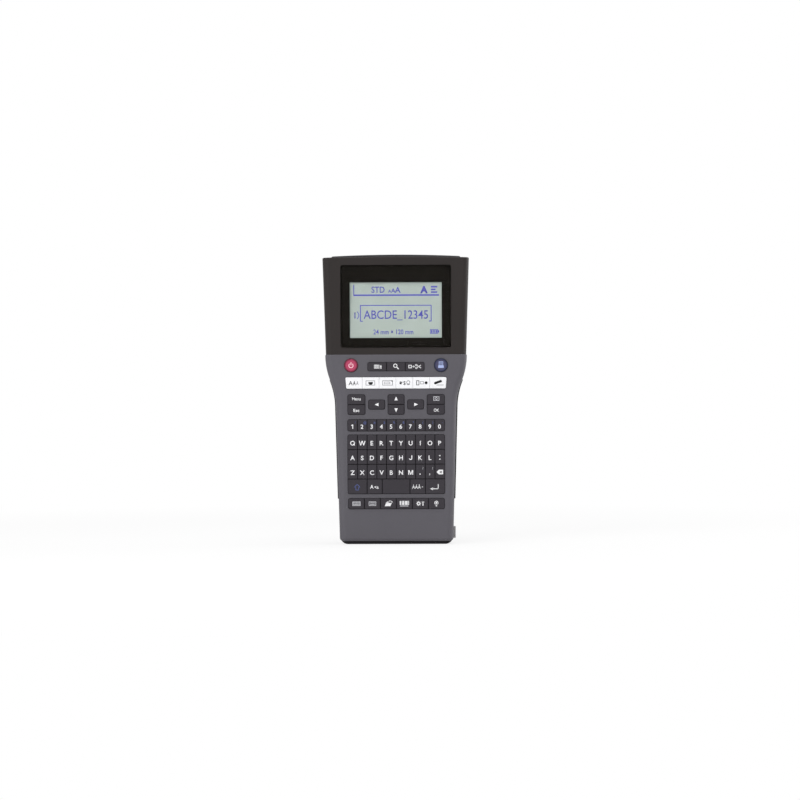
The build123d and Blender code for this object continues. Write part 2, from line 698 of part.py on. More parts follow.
def window_outline(grow=0.0):
    """Outline of the display window on the head face, grown by an amount."""
    corner = max(WINDOW_CORNER + grow, WINDOW_CORNER / 2)
    return Pos(0, WINDOW_RISE) * RectangleRounded(WINDOW_WIDTH + 2 * grow, WINDOW_HEIGHT + 2 * grow, corner)


def display_nodes():
    """Window, display glass and light box, stacked behind the head face."""
    stack_size = (WINDOW_WIDTH - 2 * LCD_MARGIN, WINDOW_HEIGHT - 2 * LCD_MARGIN)
    stack_face = Pos(0, WINDOW_RISE) * Rectangle(*stack_size)
    window = on_head(window_outline(), WINDOW_SUNK, WINDOW_THICK)
    front_edges = window.faces().sort_by(Axis.Y)[0].edges()
    return {
        "display_window": chamfer(front_edges, KEY_CHAMFER),
        "lcd_panel": on_head(stack_face, HEAD_FACE_WALL, LCD_THICK),
        "backlight": on_head(stack_face, HEAD_FACE_WALL + LCD_THICK, BACKLIGHT_THICK),
    }


def opening_outline(grow=0.0, foot_z=COVER_FOOT_Z):
    """Outline of the opening under the back cover, grown by an amount."""
    outline = case_outline(foot_z, COVER_TOP_Z + grow, REAR_INSET + COVER_MARGIN - grow)
    corners = outline.vertices().group_by(Axis.Y)[-1]
    return fillet(corners, COVER_CORNER + grow)


def rear_case():
    """Rear tub with its bays, floor, walls, posts and screw wells."""
    outside = rear_block()
    inside = behind_rear(WALL)
    cavity = slab(case_outline(WALL, REAR_TOP_Z - WALL, REAR_INSET + WALL), PARTING_Y - PAST, DEPTH)
    solid = outside - (cavity & inside)
    solid -= slab(opening_outline(foot_z=COVER_FOOT_Z - COVER_GAP), 0, DEPTH)
    above_hinge = block((-CLEAR * 2, CLEAR * 2), (-DEPTH, DEPTH), (COVER_FOOT_Z + 2 * HOOK_DROP, HEIGHT))
    ring = slab(opening_outline(BAY_WALL) - opening_outline(-COVER_LEDGE), FLOOR_FRONT_Y, DEPTH)
    solid += ring & inside & above_hinge
    floor = case_outline(WALL / 2, PARTITION_Z, REAR_INSET + WALL / 2)
    solid += slab(floor, FLOOR_FRONT_Y, FLOOR_BACK_Y) & outside
    solid += bay_walls() & inside & cavity
    solid += battery_ribs()
    for place in both_sides(HEAD_SCREW):
        solid += disc(place, WELL_R, FLOOR_FRONT_Y, DEPTH) & outside
        solid -= disc(place, SCREW_HEAD_R + SCREW_PLAY, FLOOR_BACK_Y, DEPTH)
    for screw in (FOOT_SCREW, SHOULDER_SCREW, HEAD_SCREW):
        for place in both_sides(screw):
            solid -= disc(place, SCREW_R + SCREW_PLAY, FLOOR_FRONT_Y - PAST, FLOOR_BACK_Y + PAST)
    solid += disc(HOLDER_PIVOT, HOLDER_PIN_R, FLOOR_FRONT_Y, TAPE_BACK_Y + HOLDER_SHEET)
    solid += disc(RELEASE, RELEASE_PIN_R, FLOOR_FRONT_Y, TAPE_BACK_Y)
    solid = solid - drive_openings() + cutter_shelf()
    shelf_top = PARTITION_Z + PARTITION
    solid -= disc_along_z(CUTTER_MOTOR, CUTTER_MOTOR_R + RUNNING_FIT, PARTITION_Z - PAST, shelf_top + PAST)
    solid -= grip_blocks(0)
    solid -= exit_cap_block()
    solid -= tape_slot(CASSETTE_TOP_Z, HEIGHT)
    return solid - socket_openings()


def disc_along_z(centre, radius, foot_z, top_z):
    """Cylinder along the height at a point of the plan view."""
    return layer(Pos(*centre) * Circle(radius), foot_z, top_z)


def bay_walls():
    """Divider between the bays and the partition under the cutter."""
    across = (-CLEAR * 2, CLEAR * 2)
    inner = opening_outline(BAY_WALL / 2)
    divider = block(across, (FLOOR_FRONT_Y, DEPTH), (DIVIDER_Z, DIVIDER_Z + DIVIDER))
    divider = divider & slab(inner, FLOOR_FRONT_Y, DEPTH) & behind_rear(WALL + COVER_GAP)
    partition = block(across, (FLOOR_FRONT_Y, DEPTH), (PARTITION_Z, PARTITION_Z + PARTITION))
    return divider + partition


def battery_ribs():
    """Ribs between the cells and the end walls that carry the contacts."""
    half = CELL_PITCH * CELL_COLUMNS / 2
    top_z = CELL_FOOT_Z + 2 * CELL_LENGTH
    solid = Part()
    for number in range(CELL_COLUMNS + 1):
        x = -half + number * CELL_PITCH
        solid += block(
            (x - RIB_THICK / 2, x + RIB_THICK / 2),
            (FLOOR_BACK_Y - PAST, FLOOR_BACK_Y + RIB_HEIGHT),
            (CELL_FOOT_Z, top_z),
        )
    foot = CELL_FOOT_Z - CONTACT_SPRING - CONTACT_THICK
    for low, high in ((foot - END_WALL, foot), (top_z + CONTACT_THICK, top_z + CONTACT_THICK + END_WALL)):
        solid += block((-half, half), (FLOOR_BACK_Y - PAST, FLOOR_BACK_Y + END_WALL_HEIGHT), (low, high))
    return solid


def drive_openings():
    """Holes in the bay floor for the shafts that come up through it."""
    low, high = FLOOR_FRONT_Y - PAST, FLOOR_BACK_Y + PAST / 2
    swing = math.dist(PLATEN, HOLDER_PIVOT) * math.radians(HOLDER_SWING)
    slot_half = PLATEN_SHAFT_R + SCREW_PLAY
    shaft_slot = block(
        (PLATEN[0] - swing - 2 * slot_half, PLATEN[0] + slot_half),
        (low, high),
        (PLATEN[1] - 2 * slot_half, PLATEN[1] + 2 * slot_half),
    )
    cutter_well = block(
        (CUTTER_MOTOR[0] - CUTTER_MOTOR_R - SCREW_PLAY, CUTTER_MOTOR[0] + CUTTER_MOTOR_R + SCREW_PLAY),
        (low, high),
        (cutter_motor_foot() - SCREW_PLAY, PARTITION_Z),
    )
    motor_hole = disc(FEED_MOTOR, MOTOR_SHAFT_R + SCREW_PLAY, low, high)
    spindle_hole = disc(SPINDLE, SPINDLE_R + SCREW_PLAY, low, high)
    return shaft_slot + cutter_well + motor_hole + spindle_hole


def cutter_motor_foot():
    """Height of the lower end of the cutter motor."""
    return PARTITION_Z + PARTITION - CUTTER_MOTOR_LENGTH


def cutter_shelf():
    """Shelf in front of the partition that carries the cutter, with its pivot pin."""
    left = BLADE_PIVOT[0] - BLADE_HUB_R
    right = CUTTER_MOTOR[0] + CUTTER_MOTOR_R + END_WALL
    front = CUTTER_MOTOR_Y - CUTTER_MOTOR_R - END_WALL
    shelf = block((left, right), (front, FLOOR_BACK_Y), (PARTITION_Z, PARTITION_Z + PARTITION))
    bed = block(
        (NIP_RIGHT_X + TAPE_SLOT / 2, NIP_RIGHT_X + BLADE_BED),
        (TAPE_FRONT_Y, TAPE_BACK_Y),
        (PARTITION_Z, BLADE_SEAT_Z),
    )
    pin_top = BLADE_SEAT_Z + BLADE_THICK + BLADE_GAP + SECTOR_THICK
    return shelf + bed + disc_along_z(BLADE_PIVOT, BLADE_PIVOT_R, PARTITION_Z, pin_top)


def tape_slot(foot_z, top_z):
    """Slot that lets the tape out through the top end."""
    half = TAPE_SLOT / 2
    y_range = (TAPE_FRONT_Y - half, TAPE_BACK_Y + half)
    return block((TAPE_X - half, TAPE_X + half), y_range, (foot_z, top_z))


def grip_blocks(side):
    """Grip pads as plain blocks let into the sides; side 0 gives both."""
    band = case_outline(0, SEAM_Z + CLEAR, -GRIP_PROUD)
    band -= case_outline(0, SEAM_Z + CLEAR, REAR_INSET + GRIP_SUNK)
    middle_z = (GRIP_FOOT_Z + GRIP_TOP_Z) / 2
    reach = CLEAR * 2 if side else CLEAR * 4
    band = band & Pos(side * CLEAR, middle_z) * Rectangle(reach, GRIP_TOP_Z - GRIP_FOOT_Z)
    front = PARTING_Y + GRIP_FRONT_GAP
    return slab(band, front, front + GRIP_WIDTH)


def side_grips():
    """Rubber grip pads with softened edges and cross grooves."""
    pads = []
    for side in (-1, 1):
        pad = grip_blocks(side)
        outer = [edge for edge in pad.edges() if is_outer_grip_edge(edge)]
        pad = fillet(outer, GRIP_ROUND)
        pads.append(pad - grip_grooves(side))
    return pads


def is_outer_grip_edge(edge):
    """True for the edges round the outer face of a grip pad."""
    middle = edge.center(CenterOf.BOUNDING_BOX)
    box = edge.bounding_box()
    return abs(middle.X) > outline_half(middle.Z) + GRIP_PROUD / 2 and box.size.X < CLEAR


def outline_half(height):
    """Half width of the case outline at a height below the seam."""
    section = case_outline(0, SEAM_Z + CLEAR) & Pos(0, height) * Rectangle(CLEAR * 4, 0.01)
    return section.bounding_box().size.X / 2


def grip_grooves(side):
    """Shallow cross grooves down a grip pad."""
    outer = case_outline(0, SEAM_Z + CLEAR, -GRIP_PROUD - PAST)
    band = outer - case_outline(0, SEAM_Z + CLEAR, GRIP_GROOVE - GRIP_PROUD)
    count = int((GRIP_TOP_Z - GRIP_FOOT_Z) / GRIP_GROOVE_PITCH) - 1
    start = (GRIP_FOOT_Z + GRIP_TOP_Z - (count - 1) * GRIP_GROOVE_PITCH) / 2
    front = PARTING_Y + GRIP_FRONT_GAP
    solid = Part()
    for number in range(count):
        height = start + number * GRIP_GROOVE_PITCH
        cutter = Pos(side * CLEAR, height) * Rectangle(CLEAR * 2, GRIP_GROOVE_WIDTH)
        solid += slab(band & cutter, front + 4 * GRIP_ROUND, front + GRIP_WIDTH - 4 * GRIP_ROUND)
    return solid


def exit_cap_block():
    """Plain block of the exit cap with its bowed top, as let into the top end."""
    foot_z = REAR_TOP_Z - EXIT_CAP_SUNK
    half, end_z = EXIT_CAP_WIDTH / 2, HEIGHT - EXIT_CAP_BOW
    crown = make_face([
        ThreePointArc((-half, end_z), (0, HEIGHT), (half, end_z)),
        Line((half, end_z), (half, foot_z)),
        Line((half, foot_z), (-half, foot_z)),
        Line((-half, foot_z), (-half, end_z)),
    ])
    front = PARTING_Y + EXIT_CAP_FRONT_GAP
    return slab(crown, front, HEAD_REAR_Y - EXIT_CAP_REAR_MARGIN)


def exit_cap():
    """Dark cap on the top end with the tape exit."""
    solid = exit_cap_block()
    ends = solid.edges().filter_by(Axis.Y).group_by(Axis.Z)[-1]
    solid = fillet(ends, EXIT_CAP_CORNER)
    foot_z = solid.bounding_box().min.Z
    for number in (0, -1):
        rim = solid.faces().sort_by(Axis.Y)[number].edges()
        solid = fillet([edge for edge in rim if edge.center().Z > foot_z + RUNNING_FIT], EXIT_CAP_ROUND)
    solid -= tape_slot(REAR_TOP_Z - CLEAR, HEIGHT)
    mouth = [face for face in solid.faces() if face.inner_wires() and face.center().Z > REAR_TOP_Z]
    return chamfer(mouth[0].inner_wires()[0].edges(), EXIT_CAP_ROUND)


def back_cover():
    """Rear door with its hinge bead, hooks, viewer hole and lever cut-out."""
    outline = opening_outline(-COVER_GAP)
    shell = bar(rear_profile(), -CLEAR * 2, CLEAR * 2) - behind_rear(WALL)
    solid = shell & slab(outline, 0, DEPTH)
    hinge_y, hinge_z = COVER_HINGE
    solid -= block((-CLEAR * 2, CLEAR * 2), (0, DEPTH), (0, hinge_z))
    half = outline.edges().filter_by(Axis.X).sort_by(Axis.Y)[0].length / 2
    solid += bar(Pos(hinge_y, hinge_z) * Circle(WALL / 2), -half, half)
    hook = make_hook(hinge_y, hinge_z)
    for side in (-1, 1):
        solid += bar(hook, side * HOOK_X - HOOK_WIDTH / 2, side * HOOK_X + HOOK_WIDTH / 2)
    solid -= slab(viewer_outline(-VIEWER_LIP), 0, DEPTH)
    solid -= slab(viewer_outline(0), HEAD_REAR_Y - VIEWER_THICK, DEPTH)
    solid += lever_ears()
    lever_hole = Pos(0, LEVER_Z) * Rectangle(LEVER_WIDTH + 2 * LEVER_PLAY, LEVER_HEIGHT + 2 * LEVER_PLAY)
    solid -= slab(lever_hole, 0, DEPTH)
    pin = Pos(LEVER_AXIS_Y, LEVER_Z) * Circle(LEVER_PIN_R + RUNNING_FIT)
    reach = LEVER_WIDTH / 2 + LEVER_PIN_REACH + LEVER_PLAY
    solid -= bar(pin, -reach, reach)
    return solid


def make_hook(hinge_y, hinge_z):
    """Side view of a hook that reaches in and down behind the rear wall."""
    inner = hinge_y - HOOK_REACH
    arm = Pos((inner + hinge_y) / 2, hinge_z) * Rectangle(HOOK_REACH, HOOK_THICK)
    drop = HOOK_DROP + HOOK_THICK / 2
    leg = Pos(inner + HOOK_THICK / 2, hinge_z + HOOK_THICK / 2 - drop / 2) * Rectangle(HOOK_THICK, drop)
    return arm + leg


def lever_ears():
    """Thickened pads beside the lever cut-out that take its pins."""
    ears = Part()
    thick = 2 * (LEVER_PIN_R + RUNNING_FIT) + WALL
    for side in (-1, 1):
        inner = side * (LEVER_WIDTH / 2 + LEVER_PLAY)
        outer = side * (LEVER_WIDTH / 2 + LEVER_PIN_REACH + LEVER_PLAY + WALL)
        ears += block(
            (min(inner, outer), max(inner, outer)),
            (LEVER_AXIS_Y - thick / 2, HEAD_REAR_Y - WALL / 2),
            (LEVER_Z - thick, LEVER_Z + thick),
        )
    return ears


def viewer_outline(grow):
    """Outline of the tape viewer on the back cover."""
    width, height = VIEWER_WIDTH + 2 * grow, VIEWER_HEIGHT + 2 * grow
    return Pos(VIEWER_X, VIEWER_Z) * RectangleRounded(width, height, VIEWER_CORNER)


def cover_lever():
    """Finger lever in the back cover, with its two stub pins and grip ridges."""
    outline = Pos(0, LEVER_Z) * Rectangle(LEVER_WIDTH, LEVER_HEIGHT)
    solid = slab(outline, HEAD_REAR_Y - WALL, HEAD_REAR_Y)
    reach = LEVER_WIDTH / 2 + LEVER_PIN_REACH
    solid += bar(Pos(LEVER_AXIS_Y, LEVER_Z) * Circle(LEVER_PIN_R), -reach, reach)
    for number in range(LEVER_RIDGES):
        height = LEVER_Z - LEVER_HEIGHT / 2 + (number + 1) * LEVER_HEIGHT / (2 * LEVER_RIDGES + 1)
        groove = block(
            (-LEVER_WIDTH / 3, LEVER_WIDTH / 3),
            (HEAD_REAR_Y - LEVER_RIDGE, DEPTH),
            (height - LEVER_RIDGE, height + LEVER_RIDGE),
        )
        solid -= groove
    return solid


def case_screws():
    """Six alike screws that join the front parts to the rear case."""
    screws = []
    for screw in (FOOT_SCREW, SHOULDER_SCREW, HEAD_SCREW):
        for place in both_sides(screw):
            shank = disc(place, SCREW_R, FLOOR_BACK_Y - SCREW_LENGTH, FLOOR_BACK_Y)
            head = disc(place, SCREW_HEAD_R, FLOOR_BACK_Y, FLOOR_BACK_Y + SCREW_HEAD)
            top = FLOOR_BACK_Y + SCREW_HEAD
            drive = slab(Pos(*place) * RegularPolygon(SCREW_RECESS_R, 4), top - SCREW_RECESS, top)
            screws.append(shank + head - drive)
    return screws


def socket_places():
    """Depth of the jack axis and the middle of the data socket."""
    return BOARD_BACK_Y + JACK_RISE, BOARD_BACK_Y + USB_HEIGHT / 2


def side_x(height):
    """Outer face of the rear case's right side at a height."""
    return outline_half(height) - REAR_INSET


def usb_opening():
    """Cut through the right side for the data socket."""
    usb_y = socket_places()[1]
    half_high, half_wide = USB_HEIGHT / 2 + SOCKET_PLAY, USB_WIDTH / 2 + SOCKET_PLAY
    low = side_x(USB_Z) - USB_LENGTH
    y_range = (usb_y - half_high, usb_y + half_high)
    return block((low, CLEAR * 2), y_range, (USB_Z - half_wide, USB_Z + half_wide))


def socket_openings():
    """Cuts in the rear case for both sockets."""
    jack_y = socket_places()[0]
    hole = bar(Pos(jack_y, JACK_Z) * Circle(JACK_NOSE_R + SOCKET_PLAY), BODY_END_WIDTH / 4, CLEAR * 2)
    deep, tall = JACK_BODY[1] + 2 * SOCKET_PLAY, JACK_BODY[0] + 2 * SOCKET_PLAY
    right = outline_half(JACK_Z) - REAR_INSET - WALL + RUNNING_FIT
    room = block(
        (right - JACK_LENGTH, right),
        (BOARD_BACK_Y - SOCKET_PLAY, BOARD_BACK_Y - SOCKET_PLAY + deep),
        (JACK_Z - tall / 2, JACK_Z + tall / 2),
    )
    return hole + room + usb_opening()


def dc_jack():
    """Power socket on the board, with a round nose through the side wall."""
    jack_y = socket_places()[0]
    right = outline_half(JACK_Z) - REAR_INSET - WALL
    body = block(
        (right - JACK_LENGTH + SOCKET_PLAY, right),
        (BOARD_BACK_Y, BOARD_BACK_Y + JACK_BODY[1]),
        (JACK_Z - JACK_BODY[0] / 2, JACK_Z + JACK_BODY[0] / 2),
    )
    nose_x = side_x(JACK_Z) + JACK_PROUD
    axis = Pos(jack_y, JACK_Z)
    solid = body + bar(axis * Circle(JACK_NOSE_R), right - PAST, nose_x)
    solid -= bar(axis * Circle(JACK_BORE_R), nose_x - JACK_BORE_DEPTH, nose_x)
    return solid + bar(axis * Circle(JACK_PIN_R), nose_x - JACK_BORE_DEPTH - PAST, nose_x - PAST)


def usb_port():
    """Data socket: a thin metal shell with a tongue."""
    usb_y = socket_places()[1]
    right = side_x(USB_Z) - USB_SUNK
    outer = Pos(usb_y, USB_Z) * Rectangle(USB_HEIGHT, USB_WIDTH)
    inner = Pos(usb_y, USB_Z) * Rectangle(USB_HEIGHT - 2 * USB_SHELL, USB_WIDTH - 2 * USB_SHELL)
    tongue = Pos(usb_y, USB_Z) * Rectangle(USB_TONGUE, USB_WIDTH / 2)
    solid = bar(outer, right - USB_LENGTH + USB_SUNK + SOCKET_PLAY, right)
    solid -= bar(inner, right - USB_LENGTH * 2 / 3, right)
    return solid + bar(tongue, right - USB_LENGTH * 2 / 3 - PAST, right - PAST)


def main_board():
    """Circuit board behind the keys, with a tab for the sockets and its main chips."""
    tab_right = outline_half(JACK_Z) - WALL - BOARD_EDGE_GAP
    face = Pos(0, (BOARD_FOOT_Z + BOARD_TOP_Z) / 2) * Rectangle(BOARD_WIDTH, BOARD_TOP_Z - BOARD_FOOT_Z)
    tab_middle = ((BOARD_TAB_X + tab_right) / 2, (BOARD_TAB_FOOT_Z + BOARD_TAB_TOP_Z) / 2)
    tab_size = (tab_right - BOARD_TAB_X, BOARD_TAB_TOP_Z - BOARD_TAB_FOOT_Z)
    face = face + Pos(*tab_middle) * Rectangle(*tab_size)
    solid = slab(face, BOARD_FRONT_Y, BOARD_BACK_Y)
    chip_top = BOARD_BACK_Y + CHIP_HEIGHT
    solid += slab(Pos(0, CHIP_Z) * Rectangle(CHIP_SIZE, CHIP_SIZE), BOARD_BACK_Y, chip_top)
    return solid + slab(Pos(0, MEMORY_Z) * Rectangle(*MEMORY_SIZE), BOARD_BACK_Y, chip_top)


def keypad_mat(nodes, groups):
    """Rubber sheet with one hollow-looking dome under each key."""
    boxes = [group.bounding_box() for group in groups]
    left = max(min(box.min.X for box in boxes), -BOARD_WIDTH / 2)
    low = min(box.min.Y for box in boxes) - MAT_MARGIN
    high = max(box.max.Y for box in boxes) - MAT_MARGIN
    face = Pos(0, (low + high) / 2) * Rectangle(-2 * left, high - low)
    for place in both_sides(UPPER_POST):
        face -= Pos(*place) * Circle(POST_R + KEY_PLAY)
    solid = slab(face, MAT_FRONT_Y, BOARD_FRONT_Y)
    domes = []
    for cells in nodes.values():
        for cell in cells:
            middle = cell.center(CenterOf.BOUNDING_BOX)
            foot = Plane.XZ.offset(-MAT_FRONT_Y) * Pos(middle.X, middle.Y) * Rectangle(DOME_FOOT, DOME_FOOT)
            top = Plane.XZ.offset(-KEY_BACK_Y) * Pos(middle.X, middle.Y) * Rectangle(DOME_TOP, DOME_TOP)
            domes.append(loft([foot.face(), top.face()]))
    return solid.fuse(*domes)


def battery_cells():
    """Six cells in three columns, with every second column turned over."""
    cells = []
    for number in range(CELL_COLUMNS):
        x = (number - (CELL_COLUMNS - 1) / 2) * CELL_PITCH
        for step in range(2):
            foot = CELL_FOOT_Z + step * CELL_LENGTH
            turned = number % 2
            body_foot = foot + CELL_NUB if turned else foot
            nub_foot = foot if turned else foot + CELL_LENGTH - CELL_NUB
            body = disc_along_z((x, CELL_Y), CELL_R, body_foot, body_foot + CELL_LENGTH - CELL_NUB)
            body = chamfer(body.edges().filter_by(GeomType.CIRCLE), CELL_NUB / 2)
            cells.append(body + disc_along_z((x, CELL_Y), CELL_NUB_R, nub_foot, nub_foot + CELL_NUB))
    return cells


def battery_contacts():
    """Sprung contacts below the cells and flat ones above them."""
    contacts = []
    top_z = CELL_FOOT_Z + 2 * CELL_LENGTH
    y_range = (CELL_Y - CELL_NUB_R, CELL_Y + CELL_NUB_R)
    half = CONTACT_WIDTH / 2
    for number in range(CELL_COLUMNS):
        x = (number - (CELL_COLUMNS - 1) / 2) * CELL_PITCH
        foot = CELL_FOOT_Z - CONTACT_SPRING - CONTACT_THICK
        plate = block((x - half, x + half), y_range, (foot, foot + CONTACT_THICK))
        nose = CONTACT_NOSE / 2
        top = CELL_FOOT_Z
        rise = [(x - half, foot), (x - nose, top), (x + nose, top), (x + half, foot)]
        low = [(px, pz - CONTACT_THICK) for px, pz in rise]
        leaf = slab(Polygon(*rise, align=None) - Polygon(*low, align=None), *y_range)
        leaf = leaf & block((x - half, x + half), y_range, (foot, top))
        contacts.append(plate + leaf)
        contacts.append(block((x - half, x + half), y_range, (top_z, top_z + CONTACT_THICK)))
    return contacts


def gear_outline(teeth, phase):
    """Spur gear outline about the origin, with a tooth centred on the phase angle."""
    pitch = pitch_radius(teeth)
    base = pitch * math.cos(math.radians(PRESSURE_ANGLE))
    tip = pitch + TOOTH_TIP * MODULE
    root = pitch - TOOTH_ROOT * MODULE
    half = math.pi / (2 * teeth) - TOOTH_PLAY / (2 * pitch)
    flank_foot = max(base, root)
    radii = [flank_foot, (flank_foot + pitch) / 2, pitch, tip]
    flank = [(radius, half + involute(base, pitch) - involute(base, radius)) for radius in radii]
    if root < base:
        flank.insert(0, (root, flank[0][1]))
    profile = [(radius, -angle) for radius, angle in flank]
    profile += [(radius, angle) for radius, angle in reversed(flank)]
    points = []
    for tooth in range(teeth):
        turn = phase + tooth * 360 / teeth
        points += [polar((0, 0), radius, turn + math.degrees(angle)) for radius, angle in profile]
    return Polygon(*points, align=None)


def involute(base, radius):
    """Involute angle, in radians, of a flank point at a radius."""
    pressure = math.acos(min(1, base / radius))
    return math.tan(pressure) - pressure


def placed_gear(teeth, centre, phase, front_y, bore_r):
    """Gear of the feed drive with a bore, one gear width thick."""
    face = Pos(*centre) * gear_outline(teeth, phase)
    solid = slab(face, front_y, front_y + GEAR_WIDTH)
    if bore_r:
        solid -= disc(centre, bore_r, front_y - PAST, front_y + GEAR_WIDTH + PAST)
    return solid


def feed_gears():
    """Motor pinion, reduction gear, idler, platen shaft and ribbon spindle, all in mesh."""
    bore = GEAR_PIN_R + RUNNING_FIT
    pinion_phase = meshed_phase(REDUCTION, 0, REDUCTION_TEETH, FEED_MOTOR, PINION_TEETH)
    idler_phase = meshed_phase(REDUCTION, 0, REDUCTION_PINION_TEETH, IDLER, IDLER_TEETH)
    platen_phase = meshed_phase(IDLER, idler_phase, IDLER_TEETH, PLATEN, PLATEN_TEETH)
    spindle_phase = meshed_phase(IDLER, idler_phase, IDLER_TEETH, SPINDLE, SPINDLE_TEETH)
    low, high = LOWER_GEARS_FRONT_Y, UPPER_GEARS_FRONT_Y
    pinion = placed_gear(PINION_TEETH, FEED_MOTOR, pinion_phase, low, 0)
    pinion += disc(FEED_MOTOR, MOTOR_SHAFT_R, low, FLOOR_BACK_Y)
    reduction = placed_gear(REDUCTION_TEETH, REDUCTION, 0, low, bore)
    reduction += placed_gear(REDUCTION_PINION_TEETH, REDUCTION, 0, high, bore)
    idler = placed_gear(IDLER_TEETH, IDLER, idler_phase, high, bore)
    shaft = placed_gear(PLATEN_TEETH, PLATEN, platen_phase, high, 0)
    shaft += disc(PLATEN, PLATEN_SHAFT_R, high, holder_back_y() + GEAR_GAP)
    return {
        "motor_pinion": pinion,
        "reduction_gear": reduction,
        "idler_gear": idler,
        "platen_shaft": shaft,
        "ribbon_spindle": ribbon_spindle(spindle_phase, high, bore),
    }


def ribbon_spindle(phase, front_y, bore):
    """Splined spindle that winds the used ribbon, with its gear."""
    solid = placed_gear(SPINDLE_TEETH, SPINDLE, phase, front_y, bore)
    low, high = front_y + GEAR_WIDTH, FLOOR_BACK_Y + SPINDLE_REACH
    hollow = disc(SPINDLE, bore, low - PAST, UPPER_GEARS_BACK_Y + GEAR_GAP)
    solid += disc(SPINDLE, SPINDLE_R, low, high) - hollow
    for number in range(SPINDLE_SPLINES):
        turn = number * 360 / SPINDLE_SPLINES
        rib = Pos(SPINDLE_R, 0) * Rectangle(SPINDLE_R / 2, SPINDLE_R / 4)
        rib = Pos(*SPINDLE) * Rot(0, 0, turn) * rib
        solid += slab(rib, CASSETTE_FRONT_Y + CASSETTE_WALL, high)
    return solid


def mech_plate():
    """Steel plate in front of the gears, with their pins and the standoffs to the bay floor."""
    left = HOLDER_BACK_X + MECH_MARGIN / 2
    right = SPINDLE[0] + pitch_radius(SPINDLE_TEETH) + 2 * STANDOFF_R + MECH_MARGIN
    low, high = MOTOR_Z - MOTOR_R - MECH_MARGIN / 2, SPINDLE[1] + MECH_MARGIN
    face = Pos((left + right) / 2, (low + high) / 2) * Rectangle(right - left, high - low)
    solid = slab(fillet(face.vertices(), MECH_MARGIN / 2), MECH_PLATE_FRONT_Y, MECH_PLATE_BACK_Y)
    inset = STANDOFF_R + KEY_PLAY
    corners = [(x, z) for x in (left + inset, right - inset) for z in (low + inset, high - inset)]
    for place in corners:
        solid += disc(place, STANDOFF_R, MECH_PLATE_BACK_Y, FLOOR_FRONT_Y)
    for place in (REDUCTION, IDLER, SPINDLE):
        solid += disc(place, GEAR_PIN_R, MECH_PLATE_BACK_Y, UPPER_GEARS_BACK_Y)
    return solid


def feed_motor():
    """Flat-sided motor can that stands on the bay floor."""
    can = Circle(MOTOR_R) & Rectangle(2 * MOTOR_FLAT, 2 * MOTOR_R)
    solid = slab(Pos(*FEED_MOTOR) * can, FLOOR_BACK_Y, FLOOR_BACK_Y + MOTOR_LENGTH)
    solid = chamfer(solid.faces().sort_by(Axis.Y)[-1].edges(), CELL_NUB)
    end = FLOOR_BACK_Y + MOTOR_LENGTH
    solid += disc(FEED_MOTOR, MOTOR_SHAFT_R * 3, end, end + CELL_NUB)
    return solid


def holder_front_y():
    """Front face of the roller holder's lower ear."""
    return FLOOR_BACK_Y + GEAR_GAP / 2


def holder_back_y():
    """Rear face of the roller holder's upper ear."""
    return platen_back_y() + GEAR_GAP / 2 + HOLDER_SHEET


def platen_front_y():
    """Front end of the rubber roller."""
    return holder_front_y() + HOLDER_SHEET + GEAR_GAP / 2


def platen_back_y():
    """Rear end of the rubber roller."""
    return TAPE_BACK_Y + GEAR_GAP


def platen_roller():
    """Rubber sleeve on the platen shaft."""
    sleeve = Pos(*PLATEN) * (Circle(PLATEN_R) - Circle(PLATEN_SHAFT_R))
    return slab(sleeve, platen_front_y(), platen_back_y())


def roller_holder():
    """Folded sheet bracket that swings the roller away from the print head."""
    foot = (HOLDER_BACK_X + HOLDER_EAR_R / 2, HOLDER_BACK_FOOT_Z + HOLDER_EAR_R / 2)
    rounds = [
        Pos(*HOLDER_PIVOT) * Circle(HOLDER_EAR_R + HOLDER_SHEET),
        Pos(*PLATEN) * Circle(HOLDER_EAR_R),
        Pos(*foot) * Circle(HOLDER_EAR_R / 2),
    ]
    ear = make_hull([edge for circle in rounds for edge in circle.edges()])
    ear -= Pos(*PLATEN) * Circle(PLATEN_SHAFT_R + RUNNING_FIT)
    ear -= Pos(*HOLDER_PIVOT) * Circle(HOLDER_PIN_R + RUNNING_FIT)
    solid = slab(ear, holder_front_y(), holder_front_y() + HOLDER_SHEET)
    solid += slab(ear, holder_back_y() - HOLDER_SHEET, holder_back_y())
    back = block(
        (HOLDER_BACK_X, HOLDER_BACK_X + HOLDER_SHEET),
        (holder_front_y(), holder_back_y()),
        (foot[1], HOLDER_PIVOT_Z),
    )
    return solid + back


def release_lever():
    """Lever that frees the roller when the cover is off."""
    arm_front = holder_back_y() + 2 * GEAR_GAP
    arm_back = arm_front + RELEASE_ARM_THICK
    solid = disc(RELEASE, RELEASE_HUB_R, FLOOR_BACK_Y + GEAR_GAP / 2, arm_back)
    tip = (RELEASE_X, RELEASE_Z + RELEASE_ARM - RELEASE_ARM_WIDTH / 2)
    rounds = [Pos(*RELEASE) * Circle(RELEASE_HUB_R), Pos(*tip) * Circle(RELEASE_ARM_WIDTH / 2)]
    arm = make_hull([edge for circle in rounds for edge in circle.edges()])
    solid += slab(arm, arm_front, arm_back)
    pin_top = TAPE_BACK_Y + GEAR_GAP
    return solid - disc(RELEASE, RELEASE_PIN_R + RUNNING_FIT, FLOOR_BACK_Y, pin_top)


